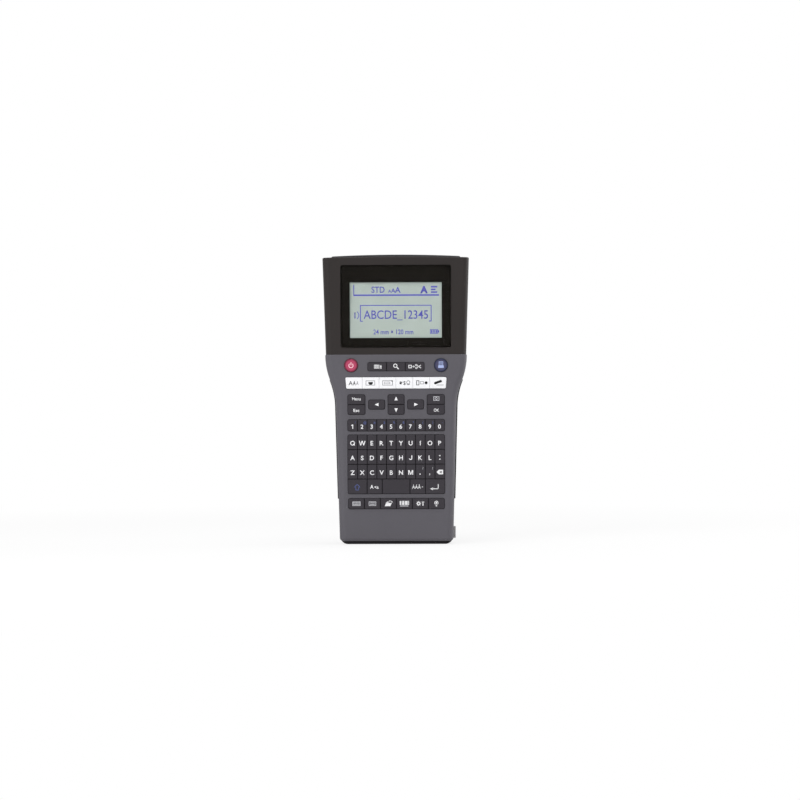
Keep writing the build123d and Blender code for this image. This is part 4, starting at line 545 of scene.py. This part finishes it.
class Print:
    """Flat marks of one ink on one face, drawn in millimetres and given a thin body."""

    thickness = 0.03
    sunk = 0.01
    cap_share = 0.729
    disc_sides = 28
    arc_step = 12
    arc_sides = 6

    def __init__(self) -> None:
        """Start with no marks."""
        self.marks = bmesh.new()

    def box(self, x: float, y: float, width: float, height: float, turn: float = 0.0) -> None:
        """Add a rectangle.

        Args:
            x: Middle of the mark across the face.
            y: Middle of the mark up the face.
            width: Its width.
            height: Its height.
            turn: Its turn in degrees, counter-clockwise.
        """
        place = Matrix.Translation((x, y, 0)) @ Matrix.Rotation(math.radians(turn), 4, "Z")
        place = place @ Matrix.Diagonal((width, height, 1, 1))
        bmesh.ops.create_grid(self.marks, x_segments=1, y_segments=1, size=0.5, matrix=place)

    def bar(self, start: Point, end: Point, width: float) -> None:
        """Add a straight stroke between two points.

        Args:
            start: First end of the stroke.
            end: Last end of the stroke.
            width: Width of the stroke.
        """
        length = math.dist(start, end)
        turn = math.degrees(math.atan2(end[1] - start[1], end[0] - start[0]))
        self.box((start[0] + end[0]) / 2, (start[1] + end[1]) / 2, length, width, turn)

    def path(self, points: list[Point], width: float) -> None:
        """Add straight strokes from point to point.

        Args:
            points: The points in order.
            width: Width of the strokes.
        """
        for start, end in zip(points, points[1:]):
            self.bar(start, end, width)

    def frame(self, x: float, y: float, width: float, height: float, line: float) -> None:
        """Add the outline of a rectangle.

        Args:
            x: Middle of the mark across the face.
            y: Middle of the mark up the face.
            width: Outer width.
            height: Outer height.
            line: Width of the outline.
        """
        for side in (-1, 1):
            self.box(x, y + side * (height - line) / 2, width, line)
            self.box(x + side * (width - line) / 2, y, line, height - 2 * line)

    def disc(self, x: float, y: float, radius: float) -> None:
        """Add a filled circle.

        Args:
            x: Middle of the mark across the face.
            y: Middle of the mark up the face.
            radius: Its radius.
        """
        place = Matrix.Translation((x, y, 0))
        sides = self.disc_sides
        bmesh.ops.create_circle(self.marks, cap_ends=True, segments=sides, radius=radius, matrix=place)

    def arc(
        self, x: float, y: float, radius: float, line: float, start: float = 0.0, sweep: float = 360.0
    ) -> None:
        """Add a ring or part of one.

        Args:
            x: Middle of the mark across the face.
            y: Middle of the mark up the face.
            radius: Outer radius.
            line: Width of the ring.
            start: Angle of its first end in degrees.
            sweep: How far it runs in degrees.
        """
        turn = Matrix.Rotation(math.radians(start), 3, "Z")
        ends = [turn @ Vector((reach, 0, 0)) + Vector((x, y, 0)) for reach in (radius - line, radius)]
        edge = self.marks.edges.new([self.marks.verts.new(end) for end in ends])
        bmesh.ops.spin(
            self.marks,
            geom=[*edge.verts, edge],
            cent=(x, y, 0),
            axis=(0, 0, 1),
            angle=math.radians(sweep),
            steps=max(self.arc_sides, int(sweep / self.arc_step)),
            use_merge=sweep >= 360,
        )

    def shape(self, *corners: Point) -> None:
        """Add a filled outline.

        Args:
            *corners: Its corners in order.
        """
        self.marks.faces.new([self.marks.verts.new((x, y, 0)) for x, y in corners])

    def text(
        self, words: str, x: float, y: float, height: float, bold: float = 0.0, width: float = 0.0
    ) -> None:
        """Add a line of text, centred on a point.

        Args:
            words: The text.
            x: Middle of the text across the face.
            y: Middle of its capitals up the face.
            height: Height of its capitals.
            bold: Stroke added all round, as a share of the text size.
            width: Width to which the text is drawn out, or 0 for its own.
        """
        mesh = text_mesh(words, bold)
        scale = height / self.cap_share
        reach = [vertex.co.x for vertex in mesh.vertices]
        middle = (min(reach) + max(reach)) / 2
        across = width / (max(reach) - min(reach)) if width else scale
        place = Matrix.Translation((x, y - height / 2, 0)) @ Matrix.Diagonal((across, scale, 1, 1))
        mesh.transform(place @ Matrix.Translation((-middle, 0, 0)))
        self.marks.from_mesh(mesh)
        bpy.data.meshes.remove(mesh)

    def finish(
        self, name: str, body: str, face: FacePlane, lift: float, material: bpy.types.Material
    ) -> None:
        """Turn the marks into a piece that rides on a body.

        Args:
            name: Name of the piece.
            body: Body that it rides on.
            face: Face that it is printed on.
            lift: Height of the printed face above that plane.
            material: Its ink.
        """
        for side in self.marks.faces:
            if side.normal.z < 0:
                side.normal_flip()
        lifted = bmesh.ops.extrude_face_region(self.marks, geom=self.marks.faces[:])["geom"]
        tops = [part for part in lifted if isinstance(part, bmesh.types.BMVert)]
        bmesh.ops.translate(self.marks, vec=(0, 0, self.thickness + self.sunk), verts=tops)
        scale = Matrix.Diagonal((MM, MM, MM, 1))
        place = scale @ face.matrix() @ Matrix.Translation((0, 0, lift - self.sunk))
        bmesh.ops.transform(self.marks, matrix=place, verts=self.marks.verts)
        bmesh.ops.recalc_face_normals(self.marks, faces=self.marks.faces)
        add_piece(name, self.marks, material, body)


def text_mesh(words: str, bold: float) -> bpy.types.Mesh:
    """Make a line of text as a flat mesh.

    Args:
        words: The text.
        bold: Stroke added all round, as a share of the text size.

    Returns:
        The mesh, one unit to the text size, standing on its baseline.
    """
    curve = bpy.data.curves.new("legend_text", "FONT")
    curve.body = words
    curve.resolution_u = 4
    curve.fill_mode = "FRONT"
    curve.offset = bold
    holder = bpy.data.objects.new("legend_text", curve)
    bpy.context.scene.collection.objects.link(holder)
    ready = holder.evaluated_get(bpy.context.evaluated_depsgraph_get())
    mesh = bpy.data.meshes.new_from_object(ready)
    bpy.data.objects.remove(holder)
    bpy.data.curves.remove(curve)
    return mesh


def add_piece(name: str, shape: bmesh.types.BMesh, material: bpy.types.Material, body: str) -> None:
    """Make a finished mesh into a piece on a body.

    Args:
        name: Name of the piece.
        shape: The mesh, in metres in the case's frame.
        material: Its finish.
        body: Body that it rides on.
    """
    mesh = bpy.data.meshes.new(name)
    shape.to_mesh(mesh)
    shape.free()
    mesh.materials.append(material)
    piece = bpy.data.objects.new(name, mesh)
    bpy.context.scene.collection.objects.link(piece)
    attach(piece, body)
    LOG.info("%s rides on %s with %d faces", name, body, len(mesh.polygons))


@dataclass
class Display:
    """Print on the display: the dark border behind the window and the marks on the glass."""

    shop: FinishShop
    window: Point = (86.9, 64.9)
    window_rise: float = 38.09
    view: Point = (72.8, 43.9)
    view_rise: float = 35.1
    border_depth: float = 1.88
    corner_step: float = 0.5
    glass_depth: float = 2.98
    type_bold: float = 0.012

    def build(self) -> None:
        """Make the border and the marks."""
        self._border()
        self._marks()

    def _border(self) -> None:
        """Print the dark border on the window's rear face."""
        ink = Print()
        half = self.window[1] / 2 - self.corner_step
        low, high = self.window_rise - half, self.window_rise + half
        view_low, view_high = self.view_rise - self.view[1] / 2, self.view_rise + self.view[1] / 2
        ink.box(0, (low + view_low) / 2, self.window[0], view_low - low)
        ink.box(0, (high + view_high) / 2, self.window[0], high - view_high)
        side = (self.window[0] - self.view[0]) / 2
        short = self.window[0] - 2 * self.corner_step
        for hand in (-1, 1):
            ink.box(hand * (self.view[0] + side) / 2, self.view_rise, side, self.view[1])
            ink.box(0, self.window_rise + hand * (half + self.corner_step / 2), short, self.corner_step)
        ink.finish("window_border", "case", HEAD_FACE, -self.border_depth, self.shop.material(BORDER))

    def _marks(self) -> None:
        """Draw the header, the framed line of text, the label size and the battery sign."""
        ink = Print()
        rise = self.view_rise
        ink.box(0.4, rise + 11.8, 67.8, 1.2)
        ink.box(-33.2, rise + 16.0, 0.7, 8.2)
        ink.text("STD", -14.0, rise + 16.3, 5.0, self.type_bold, 10.4)
        for x, lift, height in ((-4.8, 15.0, 2.6), (-2.0, 15.4, 3.6), (1.6, 16.0, 4.8)):
            ink.text("A", x, rise + lift, height, self.type_bold)
        ink.text("A", 22.4, rise + 16.2, 5.4, 0.05)
        for step, length in enumerate((5.0, 3.6, 5.0)):
            ink.box(30.4 - (5.0 - length) / 2, rise + 18.3 - step * 2.1, length, 1.2)
        ink.box(0.0, rise + 3.7, 56.4, 0.7)
        for hand in (-1, 1):
            ink.box(hand * 28.0, rise - 2.6, 0.7, 12.6)
            ink.box(hand * 27.2, rise - 8.8, 2.0, 0.7)
        ink.text("ABCDE_12345", 0.0, rise - 3.4, 7.0, 0.004, 51.0)
        ink.text("1", -32.4, rise - 4.0, 5.0, self.type_bold)
        ink.arc(-32.8, rise - 4.0, 3.8, 0.6, -55, 110)
        ink.text("24 mm × 120 mm", -2.0, rise - 17.2, 3.9, 0.014, 31.6)
        ink.frame(30.2, rise - 17.1, 6.4, 3.6, 0.5)
        ink.box(33.8, rise - 17.1, 0.8, 1.8)
        for step in range(3):
            ink.box(28.4 + step * 1.8, rise - 17.1, 1.2, 2.2)
        ink.finish("display_marks", "case", HEAD_FACE, -self.glass_depth, self.shop.material(LCD_INK))


@dataclass
class BackMarks:
    """Opening arrow on the finger lever of the back cover."""

    shop: FinishShop

    def build(self) -> None:
        """Make the arrow."""
        low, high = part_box("cover_lever")
        middle = (low[2] + high[2]) / 2 / MM
        face = FacePlane((0, high[1] / MM, middle), (0, 0, 1), -1)
        arrow = Print()
        arrow.shape((-2.6, 4.4), (2.6, 4.4), (0.0, 1.6))
        arrow.finish("lever_arrow", "cover_lever", face, 0.0, self.shop.material(INK_GREY))


@dataclass
class KeyLegends:
    """Printed legends of every key, each riding on its own key."""

    shop: FinishShop
    letter_stroke: float = 0.64
    letter_height: float = 3.6
    number_height: float = 3.4
    letter_bold: float = 0.024
    tight_bold: float = 0.016
    letter_shapes: tuple[tuple[str, tuple[Point, ...]], ...] = (
        ("M", ((-1.9, -1.8), (-1.25, -1.8), (-1.25, 0.75), (-0.3, -1.8), (0.3, -1.8), (1.25, 0.75),
               (1.25, -1.8), (1.9, -1.8), (1.9, 1.8), (0.95, 1.8), (0.0, -0.8), (-0.95, 1.8), (-1.9, 1.8))),
        ("W", ((-2.6, 1.8), (-1.55, -1.8), (-0.85, -1.8), (0.0, 0.95), (0.85, -1.8), (1.55, -1.8),
               (2.6, 1.8), (1.9, 1.8), (1.2, -0.75), (0.4, 1.8), (-0.4, 1.8), (-1.2, -0.75), (-1.9, 1.8))),
        ("J", ((0.58, 1.8), (0.58, -0.6), (1.22, -0.6), (1.22, 1.8))),
        ("1", ((0.0, -1.7), (0.65, -1.7), (0.65, 1.7), (0.2, 1.7), (-0.9, 1.1), (-0.9, 0.5), (0.0, 0.9))),
        ("Q", ((0.34, -0.72), (0.67, -1.032), (1.008, -1.552), (1.535, -2.001),
               (2.001, -1.535), (1.552, -1.008), (1.032, -0.67), (0.72, -0.34))),
    )
    letter_arcs: tuple[tuple[str, tuple[float, float, float, float]], ...] = (
        ("J", (-0.6, 1.22, 180, 180)),
        ("Q", (0.0, 1.85, -33, 336)),
    )
    column: float = 7.66
    first_column: float = -34.47
    number_z: float = 94.5
    letter_rows: tuple[float, ...] = (81.08, 69.43, 57.78, 46.13)
    shift_x: float = -31.0
    function_z: float = 32.5
    function_pitch: float = 12.65
    cursor_z: float = 110.9
    pair_x: float = 31.4
    pair_step: float = 4.2
    arrow_x: float = 15.4
    top_bar_z: float = 140.9
    preview_x: float = -14.6
    feed_x: float = 15.2
    white_z: float = 128.0
    white_first: float = -33.5
    white_pitch: float = 13.4
    round_x: float = 35.6
    round_z: float = 142.0

    def build(self) -> None:
        """Print every legend."""
        self._rows()
        self._edit_row()
        self._function_row()
        self._cursor_keys()
        self._top_bar()
        self._white_bar()
        self._round_keys()

    def _put(self, ink: Print, name: str, body: str, finish: Finish) -> None:
        """Finish one print on the key tops.

        Args:
            ink: The marks.
            name: Name of the piece.
            body: Key that it rides on.
            finish: Its ink.
        """
        ink.finish(name, body, KEY_TOP, 0.0, self.shop.material(finish))

    def _column_x(self, number: int) -> float:
        """Middle of a key in the ten-key rows."""
        return self.first_column + number * self.column

    def _letter(self, ink: Print, letter: str, x: float, z: float, height: float) -> None:
        """Print one letter or number, drawn from given outlines where the plain type is unlike the keys.

        Args:
            ink: Marks that get the letter.
            letter: The letter or number.
            x: Its middle across the face.
            z: Its middle up the face.
            height: Height of the type.
        """
        outline = dict(self.letter_shapes).get(letter)
        if outline is None:
            ink.text(letter, x, z, height, self.tight_bold if letter == "B" else self.letter_bold)
            return
        ink.shape(*moved(outline, x, z))
        for owner, (rise, radius, start, sweep) in self.letter_arcs:
            if owner == letter:
                ink.arc(x, z + rise, radius, self.letter_stroke, start, sweep)

    def _rows(self) -> None:
        """Print the number row and the three letter rows."""
        digits, signs = Print(), Print()
        for number, (digit, sign) in enumerate(zip("1234567890", "!@#$%&*()-")):
            x = self._column_x(number)
            self._letter(digits, digit, x - 0.2, self.number_z - 1.0, self.number_height)
            signs.text(sign, x + 2.1, self.number_z + 2.2, 1.9, 0.01)
        self._put(digits, "number_legends", "number_keys", INK_WHITE)
        self._put(signs, "number_sign_legends", "number_keys", INK_BLUE)
        rows = (
            ("letter_keys_upper", "QWERTYUIOP"),
            ("letter_keys_middle", "ASDFGHJKL"),
            ("letter_keys_lower", "ZXCVBNM"),
        )
        inks = {body: Print() for body, _ in rows}
        for (body, letters), z in zip(rows, self.letter_rows):
            for number, letter in enumerate(letters):
                x = self._column_x(number) - 0.1
                self._letter(inks[body], letter, x, z - 0.65, self.letter_height)
        middle, lower = inks["letter_keys_middle"], inks["letter_keys_lower"]
        for lift in (0.9, -1.9):
            middle.disc(self._column_x(9), self.letter_rows[1] + lift, 0.5)
        low_z = self.letter_rows[2]
        lower.disc(self._column_x(7) - 0.4, low_z - 2.0, 0.5)
        lower.disc(self._column_x(8) - 0.4, low_z - 2.0, 0.42)
        lower.bar((self._column_x(8) - 0.3, low_z - 2.1), (self._column_x(8) - 0.7, low_z - 2.9), 0.35)
        x = self._column_x(9)
        sign = ((-2.6, -0.4), (-0.9, -2.2), (2.5, -2.2), (2.5, 1.4), (-0.9, 1.4))
        lower.shape(*moved(sign, x, low_z))
        # The cross lies on the pale sign, so it starts above the key's face.
        cross = Print()
        for hand in (-1, 1):
            cross.box(x + 0.7, low_z - 0.4, 2.4, 0.5, hand * 45)
        cross.sunk = -0.02
        for body, ink in inks.items():
            self._put(ink, body.replace("_keys", "") + "_legends", body, INK_WHITE)
        self._put(cross, "erase_cross_legend", "letter_keys_lower", INK_DARK)
        small = Print()
        small.text("?", self._column_x(7) + 1.9, low_z + 2.6, 2.0)
        small.text("!", self._column_x(8) + 1.9, low_z + 2.6, 2.0)
        self._put(small, "letter_sign_legends", "letter_keys_lower", INK_SOFT)

    def _edit_row(self) -> None:
        """Print the shift, case, accent and enter keys."""
        z = self.letter_rows[3]
        shift = Print()
        right = [(0.0, 2.5), (2.3, 0.2), (1.1, 0.2), (1.1, -2.0)]
        outline = right + [(-x, up) for x, up in reversed(right)]
        shift.path(moved(outline, self.shift_x, z - 0.8), 0.55)
        self._put(shift, "shift_legend", "edit_keys", INK_BLUE)
        ink = Print()
        ink.text("A", -19.4, z - 0.3, 3.0, 0.018)
        ink.shape((-17.6, z - 0.5), (-16.3, z - 1.3), (-16.3, z + 0.3))
        ink.text("a", -14.9, z - 0.3, 3.0, 0.018)
        ink.text("ÀÁÂ", 15.9, z - 0.5, 2.8, 0.008, 7.0)
        ink.box(20.6, z - 0.5, 0.9, 0.5)
        ink.bar((28.2, z - 2.0), (33.3, z - 2.0), 0.55)
        ink.bar((33.1, z - 2.2), (33.1, z + 1.7), 0.55)
        ink.shape((26.7, z - 2.0), (29.0, z - 3.1), (29.0, z - 0.9))
        self._put(ink, "edit_legends", "edit_keys", INK_WHITE)

    def _function_row(self) -> None:
        """Print the pictograms of the six function keys."""
        ink, soft = Print(), Print()
        z = self.function_z
        places = [self.function_pitch * (number - 2.5) for number in range(6)]
        x = places[0]
        soft.frame(x, z, 6.4, 3.4, 0.45)
        for row in range(2):
            for number in range(5):
                soft.box(x - 2.1 + number * 1.05, z + 0.6 - row * 1.2, 0.8, 0.75)
        x = places[1]
        soft.frame(x, z, 5.8, 3.4, 0.45)
        soft.box(x, z + 0.6, 3.8, 0.5)
        soft.box(x, z - 0.6, 3.8, 0.5)
        x = places[2]
        for side in (
            ((-2.9, -2.0), (1.5, -2.0), (2.7, 0.5), (-1.7, 0.5)),
            ((-2.9, -1.7), (-2.0, 0.9), (-0.6, 1.6), (0.9, 0.9), (-1.9, 0.8)),
        ):
            ink.shape(*moved(side, x, z))
        ink.arc(x + 1.4, z + 0.9, 1.5, 0.4, 20, 130)
        ink.shape((x + 2.3, z + 0.7), (x + 3.5, z + 1.1), (x + 2.8, z + 2.0))
        x = places[3]
        code = ((-3.2, 0.9), (-1.9, 0.5), (-0.9, 1.0), (0.4, 0.5), (1.4, 1.1), (2.6, 0.5), (3.4, 0.4))
        for offset, width in code:
            ink.box(x + offset, z + 0.5, width, 3.2)
        soft.box(x - 0.2, z - 1.9, 6.6, 0.6)
        x = places[4]
        ink.arc(x - 1.4, z, 1.4, 0.75)
        for number in range(8):
            turn = number * 45
            reach = (math.cos(math.radians(turn)) * 1.5, math.sin(math.radians(turn)) * 1.5)
            ink.box(x - 1.4 + reach[0], z + reach[1], 0.7, 0.6, turn)
        ink.box(x + 2.0, z - 0.5, 0.7, 2.6)
        ink.arc(x + 2.0, z + 1.3, 0.9, 0.5, 150, 240)
        x = places[5]
        ink.arc(x, z + 0.5, 1.6, 0.5, -50, 280)
        ink.disc(x, z + 0.5, 0.7)
        ink.box(x, z - 1.2, 1.5, 0.5)
        ink.box(x, z - 2.0, 1.1, 0.5)
        self._put(ink, "function_legends", "function_keys", INK_WHITE)
        self._put(soft, "function_frame_legends", "function_keys", INK_SOFT)

    def _cursor_keys(self) -> None:
        """Print the menu, escape, cancel, OK and arrow keys."""
        high, low = self.cursor_z + self.pair_step, self.cursor_z - self.pair_step
        for words, x, z, width, body in (
            ("Menu", -self.pair_x, high + 0.4, 6.8, "key_menu"),
            ("Esc", -self.pair_x, low - 0.3, 4.7, "key_escape"),
            ("OK", self.pair_x + 0.5, low - 0.3, 4.2, "key_ok"),
        ):
            ink = Print()
            ink.text(words, x, z, 2.5, 0.019, width)
            self._put(ink, body + "_legend", body, INK_WHITE)
        ink = Print()
        x, z = self.pair_x + 0.5, high + 0.4
        ink.frame(x, z, 4.6, 3.4, 0.45)
        rhomb = ((-1.1, 0.0), (0.0, 1.1), (1.1, 0.0), (0.0, -1.1), (-1.1, 0.0))
        ink.path(moved(rhomb, x, z), 0.45)
        self._put(ink, "key_cancel_legend", "key_cancel", INK_SOFT)
        for body, x, z, turn in (
            ("key_up", 0.0, high + 0.6, 90),
            ("key_down", 0.0, low - 0.3, -90),
            ("key_left", -self.arrow_x, self.cursor_z, 180),
            ("key_right", self.arrow_x + 0.4, self.cursor_z, 0),
        ):
            ink = Print()
            spin = Matrix.Rotation(math.radians(turn), 2)
            tips = [spin @ Vector(tip) for tip in ((-1.5, -1.3), (1.6, 0), (-1.5, 1.3))]
            ink.shape(*moved(tips, x, z))
            self._put(ink, body + "_legend", body, INK_WHITE)

    def _top_bar(self) -> None:
        """Print the preview, zoom and feed-and-cut keys."""
        z = self.top_bar_z
        ink = Print()
        x = self.preview_x
        ink.frame(x - 0.6, z, 4.2, 3.0, 0.3)
        for row in range(3):
            ink.box(x - 0.6, z + 0.8 - row * 0.8, 3.2, 0.42)
        ink.shape((x + 2.0, z - 0.2), (x + 3.4, z - 0.2), (x + 2.7, z + 1.5))
        ink.box(x + 2.7, z - 0.9, 0.7, 1.6)
        self._put(ink, "key_preview_legend", "key_preview", INK_WHITE)
        ink = Print()
        ink.arc(-0.5, z + 0.7, 1.6, 0.55)
        ink.bar((0.5, z - 0.3), (2.1, z - 2.0), 0.8)
        self._put(ink, "key_zoom_legend", "key_zoom", INK_WHITE)
        ink = Print()
        x = self.feed_x
        ink.frame(x - 4.0, z, 2.6, 2.6, 0.5)
        ink.box(x - 1.8, z, 1.2, 0.4)
        ink.shape((x - 1.4, z - 0.9), (x - 0.2, z), (x - 1.4, z + 0.9))
        for hand in (-1, 1):
            ink.bar((x + 1.4, z + hand * 0.9), (x + 4.6, z - hand * 1.2), 0.5)
            ink.arc(x + 0.9, z + hand * 1.2, 0.8, 0.35)
        self._put(ink, "key_feed_legend", "key_feed", INK_WHITE)

    def _white_bar(self) -> None:
        """Print the pictograms of the pale keys."""
        z = self.white_z
        places = [self.white_first + self.white_pitch * number for number in range(6)]
        names = ("font", "size", "width", "style", "frame", "align")
        black = {name: Print() for name in names}
        grey = {name: Print() for name in names}
        x = places[0]
        black["font"].text("A", x - 2.4, z, 3.4, 0.008)
        black["font"].text("A", x + 0.5, z, 3.4, 0.02, 2.2)
        grey["font"].text("A", x + 2.9, z, 3.2, 0.008, 1.8)
        x = places[1]
        grey["size"].frame(x - 0.2, z, 7.4, 3.8, 0.4)
        black["size"].box(x, z + 0.2, 3.6, 1.0)
        black["size"].shape((x - 1.8, z - 0.2), (x - 0.9, z - 1.4), (x + 0.9, z - 1.4), (x + 1.8, z - 0.2))
        x = places[2]
        grey["width"].frame(x, z, 8.2, 3.9, 0.4)
        grey["width"].frame(x - 0.4, z, 4.8, 1.7, 0.35)
        black["width"].shape((x + 2.6, z + 1.95), (x + 4.1, z + 1.95), (x + 4.1, z + 0.3))
        x = places[3]
        black["style"].text("*", x - 2.8, z - 0.8, 4.2, 0.02)
        black["style"].text("$", x, z, 3.0, 0.006)
        grey["style"].arc(x + 3.0, z + 0.4, 1.5, 0.45)
        grey["style"].box(x + 3.0, z - 1.4, 2.4, 0.5)
        x = places[4]
        black["frame"].frame(x - 2.9, z, 2.4, 3.8, 0.5)
        grey["frame"].frame(x + 0.4, z, 3.0, 2.2, 0.4)
        black["frame"].disc(x + 3.7, z, 1.15)
        x = places[5]
        black["align"].bar((x - 2.2, z - 0.2), (x + 2.6, z + 1.5), 1.9)
        black["align"].disc(x - 2.4, z - 0.3, 1.0)
        grey["align"].box(x + 1.4, z - 1.8, 5.6, 0.4)
        for name in names:
            self._put(black[name], f"key_{name}_legend", f"key_{name}", INK_BLACK)
            self._put(grey[name], f"key_{name}_soft_legend", f"key_{name}", INK_GREY)

    def _round_keys(self) -> None:
        """Print the power and print signs on the round keys."""
        z = self.round_z
        ink = Print()
        ink.arc(-self.round_x, z - 0.2, 2.0, 0.6, 125, 290)
        ink.box(-self.round_x, z + 1.2, 0.6, 2.4)
        self._put(ink, "key_power_legend", "key_power", INK_PINK)
        ink = Print()
        x = self.round_x
        ink.box(x, z - 1.3, 4.4, 1.9)
        ink.frame(x, z + 1.2, 3.4, 3.2, 0.4)
        for row in range(2):
            ink.box(x, z + 1.7 - row * 0.9, 2.2, 0.4)
        self._put(ink, "key_print_legend", "key_print", INK_SKY)


@dataclass
class Studio:
    """Pale floor, soft lamps and the camera of the photograph.

    A lamp's row holds its name, its place, the length of its side and its power in watts.
    """

    lamps: tuple[tuple[str, Place, float, float], ...] = (
        ("key_lamp", (-0.9, -1.34, 0.95), 1.0, 16.4),
        ("fill_lamp", (0.95, -1.35, 0.5), 1.1, 0.5),
        ("edge_lamp", (1.2, 0.25, 0.35), 0.7, 6.0),
        ("top_lamp", (0.1, -0.15, 1.45), 0.9, 9.0),
    )
    lamp_aim: Place = (0.0, 0.0, 0.115)
    sensor: float = 36.0
    pixel: float = 0.7915
    frame_pixels: float = 800.0
    distance: float = 2.0
    face_y: float = -0.0237
    aim: tuple[float, float] = (0.0031, 0.11445)
    yaw: float = 0.8
    roll: float = 0.2
    ambient: float = 0.42
    floor_glow: float = 0.8
    floor_near: float = 0.3
    floor_far: float = 0.8
    floor_size: float = 6.0
    floor_shade: float = 0.86
    floor_roughness: float = 0.9

    def build(self) -> None:
        """Set up the light, the floor and the camera."""
        bpy.context.scene.view_settings.view_transform = "Standard"
        self._world()
        self._floor()
        for row in self.lamps:
            self._lamp(*row)
        self._camera()

    def _camera(self) -> None:
        """Place the camera in front of the key face, turned and rolled a little as in the photograph."""
        lens = bpy.data.cameras.new("front_camera")
        lens.sensor_width = self.sensor
        lens.lens = lens.sensor_width * self.distance / (self.pixel * MM * self.frame_pixels)
        camera = bpy.data.objects.new("front_camera", lens)
        turn = math.radians(self.yaw)
        side, back = self.distance * math.sin(turn), self.distance * math.cos(turn)
        camera.location = (self.aim[0] + side, self.face_y - back, self.aim[1])
        camera.rotation_euler = (math.radians(90), math.radians(self.roll), turn)
        bpy.context.scene.collection.objects.link(camera)
        bpy.context.scene.camera = camera

    def _lamp(self, name: str, place: Place, size: float, power: float) -> None:
        """Add a soft square lamp aimed at the middle of the case.

        Args:
            name: Name of the lamp.
            place: Where it stands.
            size: Length of its side.
            power: Its power in watts.
        """
        light = bpy.data.lights.new(name, "AREA")
        light.size = size
        light.energy = power
        lamp = bpy.data.objects.new(name, light)
        lamp.location = place
        aim = Vector(self.lamp_aim) - Vector(place)
        lamp.rotation_euler = aim.to_track_quat("-Z", "Y").to_euler()
        bpy.context.scene.collection.objects.link(lamp)

    def _seen(self, tree: bpy.types.NodeTree) -> object:
        """Add a mask of the rays that show the background.

        Args:
            tree: Nodes that get the mask.

        Returns:
            Output socket that is 1 for camera, glossy and transmission rays.
        """
        path = tree.nodes.new("ShaderNodeLightPath")
        total = path.outputs["Is Camera Ray"]
        for title in ("Is Glossy Ray", "Is Transmission Ray"):
            either = tree.nodes.new("ShaderNodeMath")
            either.operation = "MAXIMUM"
            tree.links.new(total, either.inputs[0])
            tree.links.new(path.outputs[title], either.inputs[1])
            total = either.outputs[0]
        return total

    def _world(self) -> None:
        """White to look at, and a plain soft light on the object."""
        world = bpy.data.worlds.new("studio")
        world.use_nodes = True
        tree = world.node_tree
        sky = tree.nodes["Background"]
        sky.inputs["Color"].default_value = (1, 1, 1, 1)
        level = tree.nodes.new("ShaderNodeMapRange")
        level.inputs["To Min"].default_value = self.ambient
        level.inputs["To Max"].default_value = 1.0
        tree.links.new(self._seen(tree), level.inputs["Value"])
        tree.links.new(level.outputs[0], sky.inputs["Strength"])
        bpy.context.scene.world = world

    def _floor(self) -> None:
        """Pale floor that is near white and keeps a soft shadow."""
        shape = bmesh.new()
        bmesh.ops.create_grid(shape, x_segments=1, y_segments=1, size=self.floor_size)
        mesh = bpy.data.meshes.new("floor")
        shape.to_mesh(mesh)
        shape.free()
        material = bpy.data.materials.new("floor")
        material.use_nodes = True
        tree = material.node_tree
        shader = tree.nodes["Principled BSDF"]
        shade = self.floor_shade
        shader.inputs["Base Color"].default_value = (shade, shade, shade, 1)
        shader.inputs["Roughness"].default_value = self.floor_roughness
        glow = tree.nodes.new("ShaderNodeEmission")
        mix = tree.nodes.new("ShaderNodeMixShader")
        reach = tree.nodes.new("ShaderNodeVectorMath")
        reach.operation = "LENGTH"
        tree.links.new(tree.nodes.new("ShaderNodeTexCoord").outputs["Object"], reach.inputs[0])
        share = tree.nodes.new("ShaderNodeMapRange")
        share.interpolation_type = "SMOOTHSTEP"
        share.inputs["From Min"].default_value = self.floor_near
        share.inputs["From Max"].default_value = self.floor_far
        share.inputs["To Min"].default_value = self.floor_glow
        tree.links.new(reach.outputs["Value"], share.inputs["Value"])
        part = tree.nodes.new("ShaderNodeMath")
        part.operation = "MULTIPLY"
        tree.links.new(self._seen(tree), part.inputs[0])
        tree.links.new(share.outputs[0], part.inputs[1])
        tree.links.new(part.outputs[0], mix.inputs[0])
        tree.links.new(shader.outputs[0], mix.inputs[1])
        tree.links.new(glow.outputs[0], mix.inputs[2])
        tree.links.new(mix.outputs[0], tree.nodes["Material Output"].inputs["Surface"])
        mesh.materials.append(material)
        floor = bpy.data.objects.new("floor", mesh)
        bpy.context.scene.collection.objects.link(floor)
        floor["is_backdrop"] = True


@dataclass
class Housing:
    """The CAD pieces, each dressed in the finish of its slot."""

    frame: dict
    shop: FinishShop

    def build(self) -> None:
        """Give every CAD piece its material."""
        for part in self.frame["record"]["subparts"]:
            node = self.frame["nodes"][part["node"]]
            material = self.shop.material(SLOT_FINISH[part["material_slot"]])
            for slot in node.material_slots:
                slot.material = material
            LOG.info("%s takes %s", part["node"], material.name)


def corners() -> list[list[float]]:
    """Lowest and highest corner of what is shown, as plain numbers."""
    return [[float(value) for value in corner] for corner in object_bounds()]


def main() -> None:
    """Build the looks round the frame."""
    logging.basicConfig(level=logging.INFO)
    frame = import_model()
    shop = FinishShop(NodeGroups())
    Housing(frame, shop).build()
    Display(shop).build()
    BackMarks(shop).build()
    KeyLegends(shop).build()
    Studio().build()


if __name__ == "__main__":
    main()
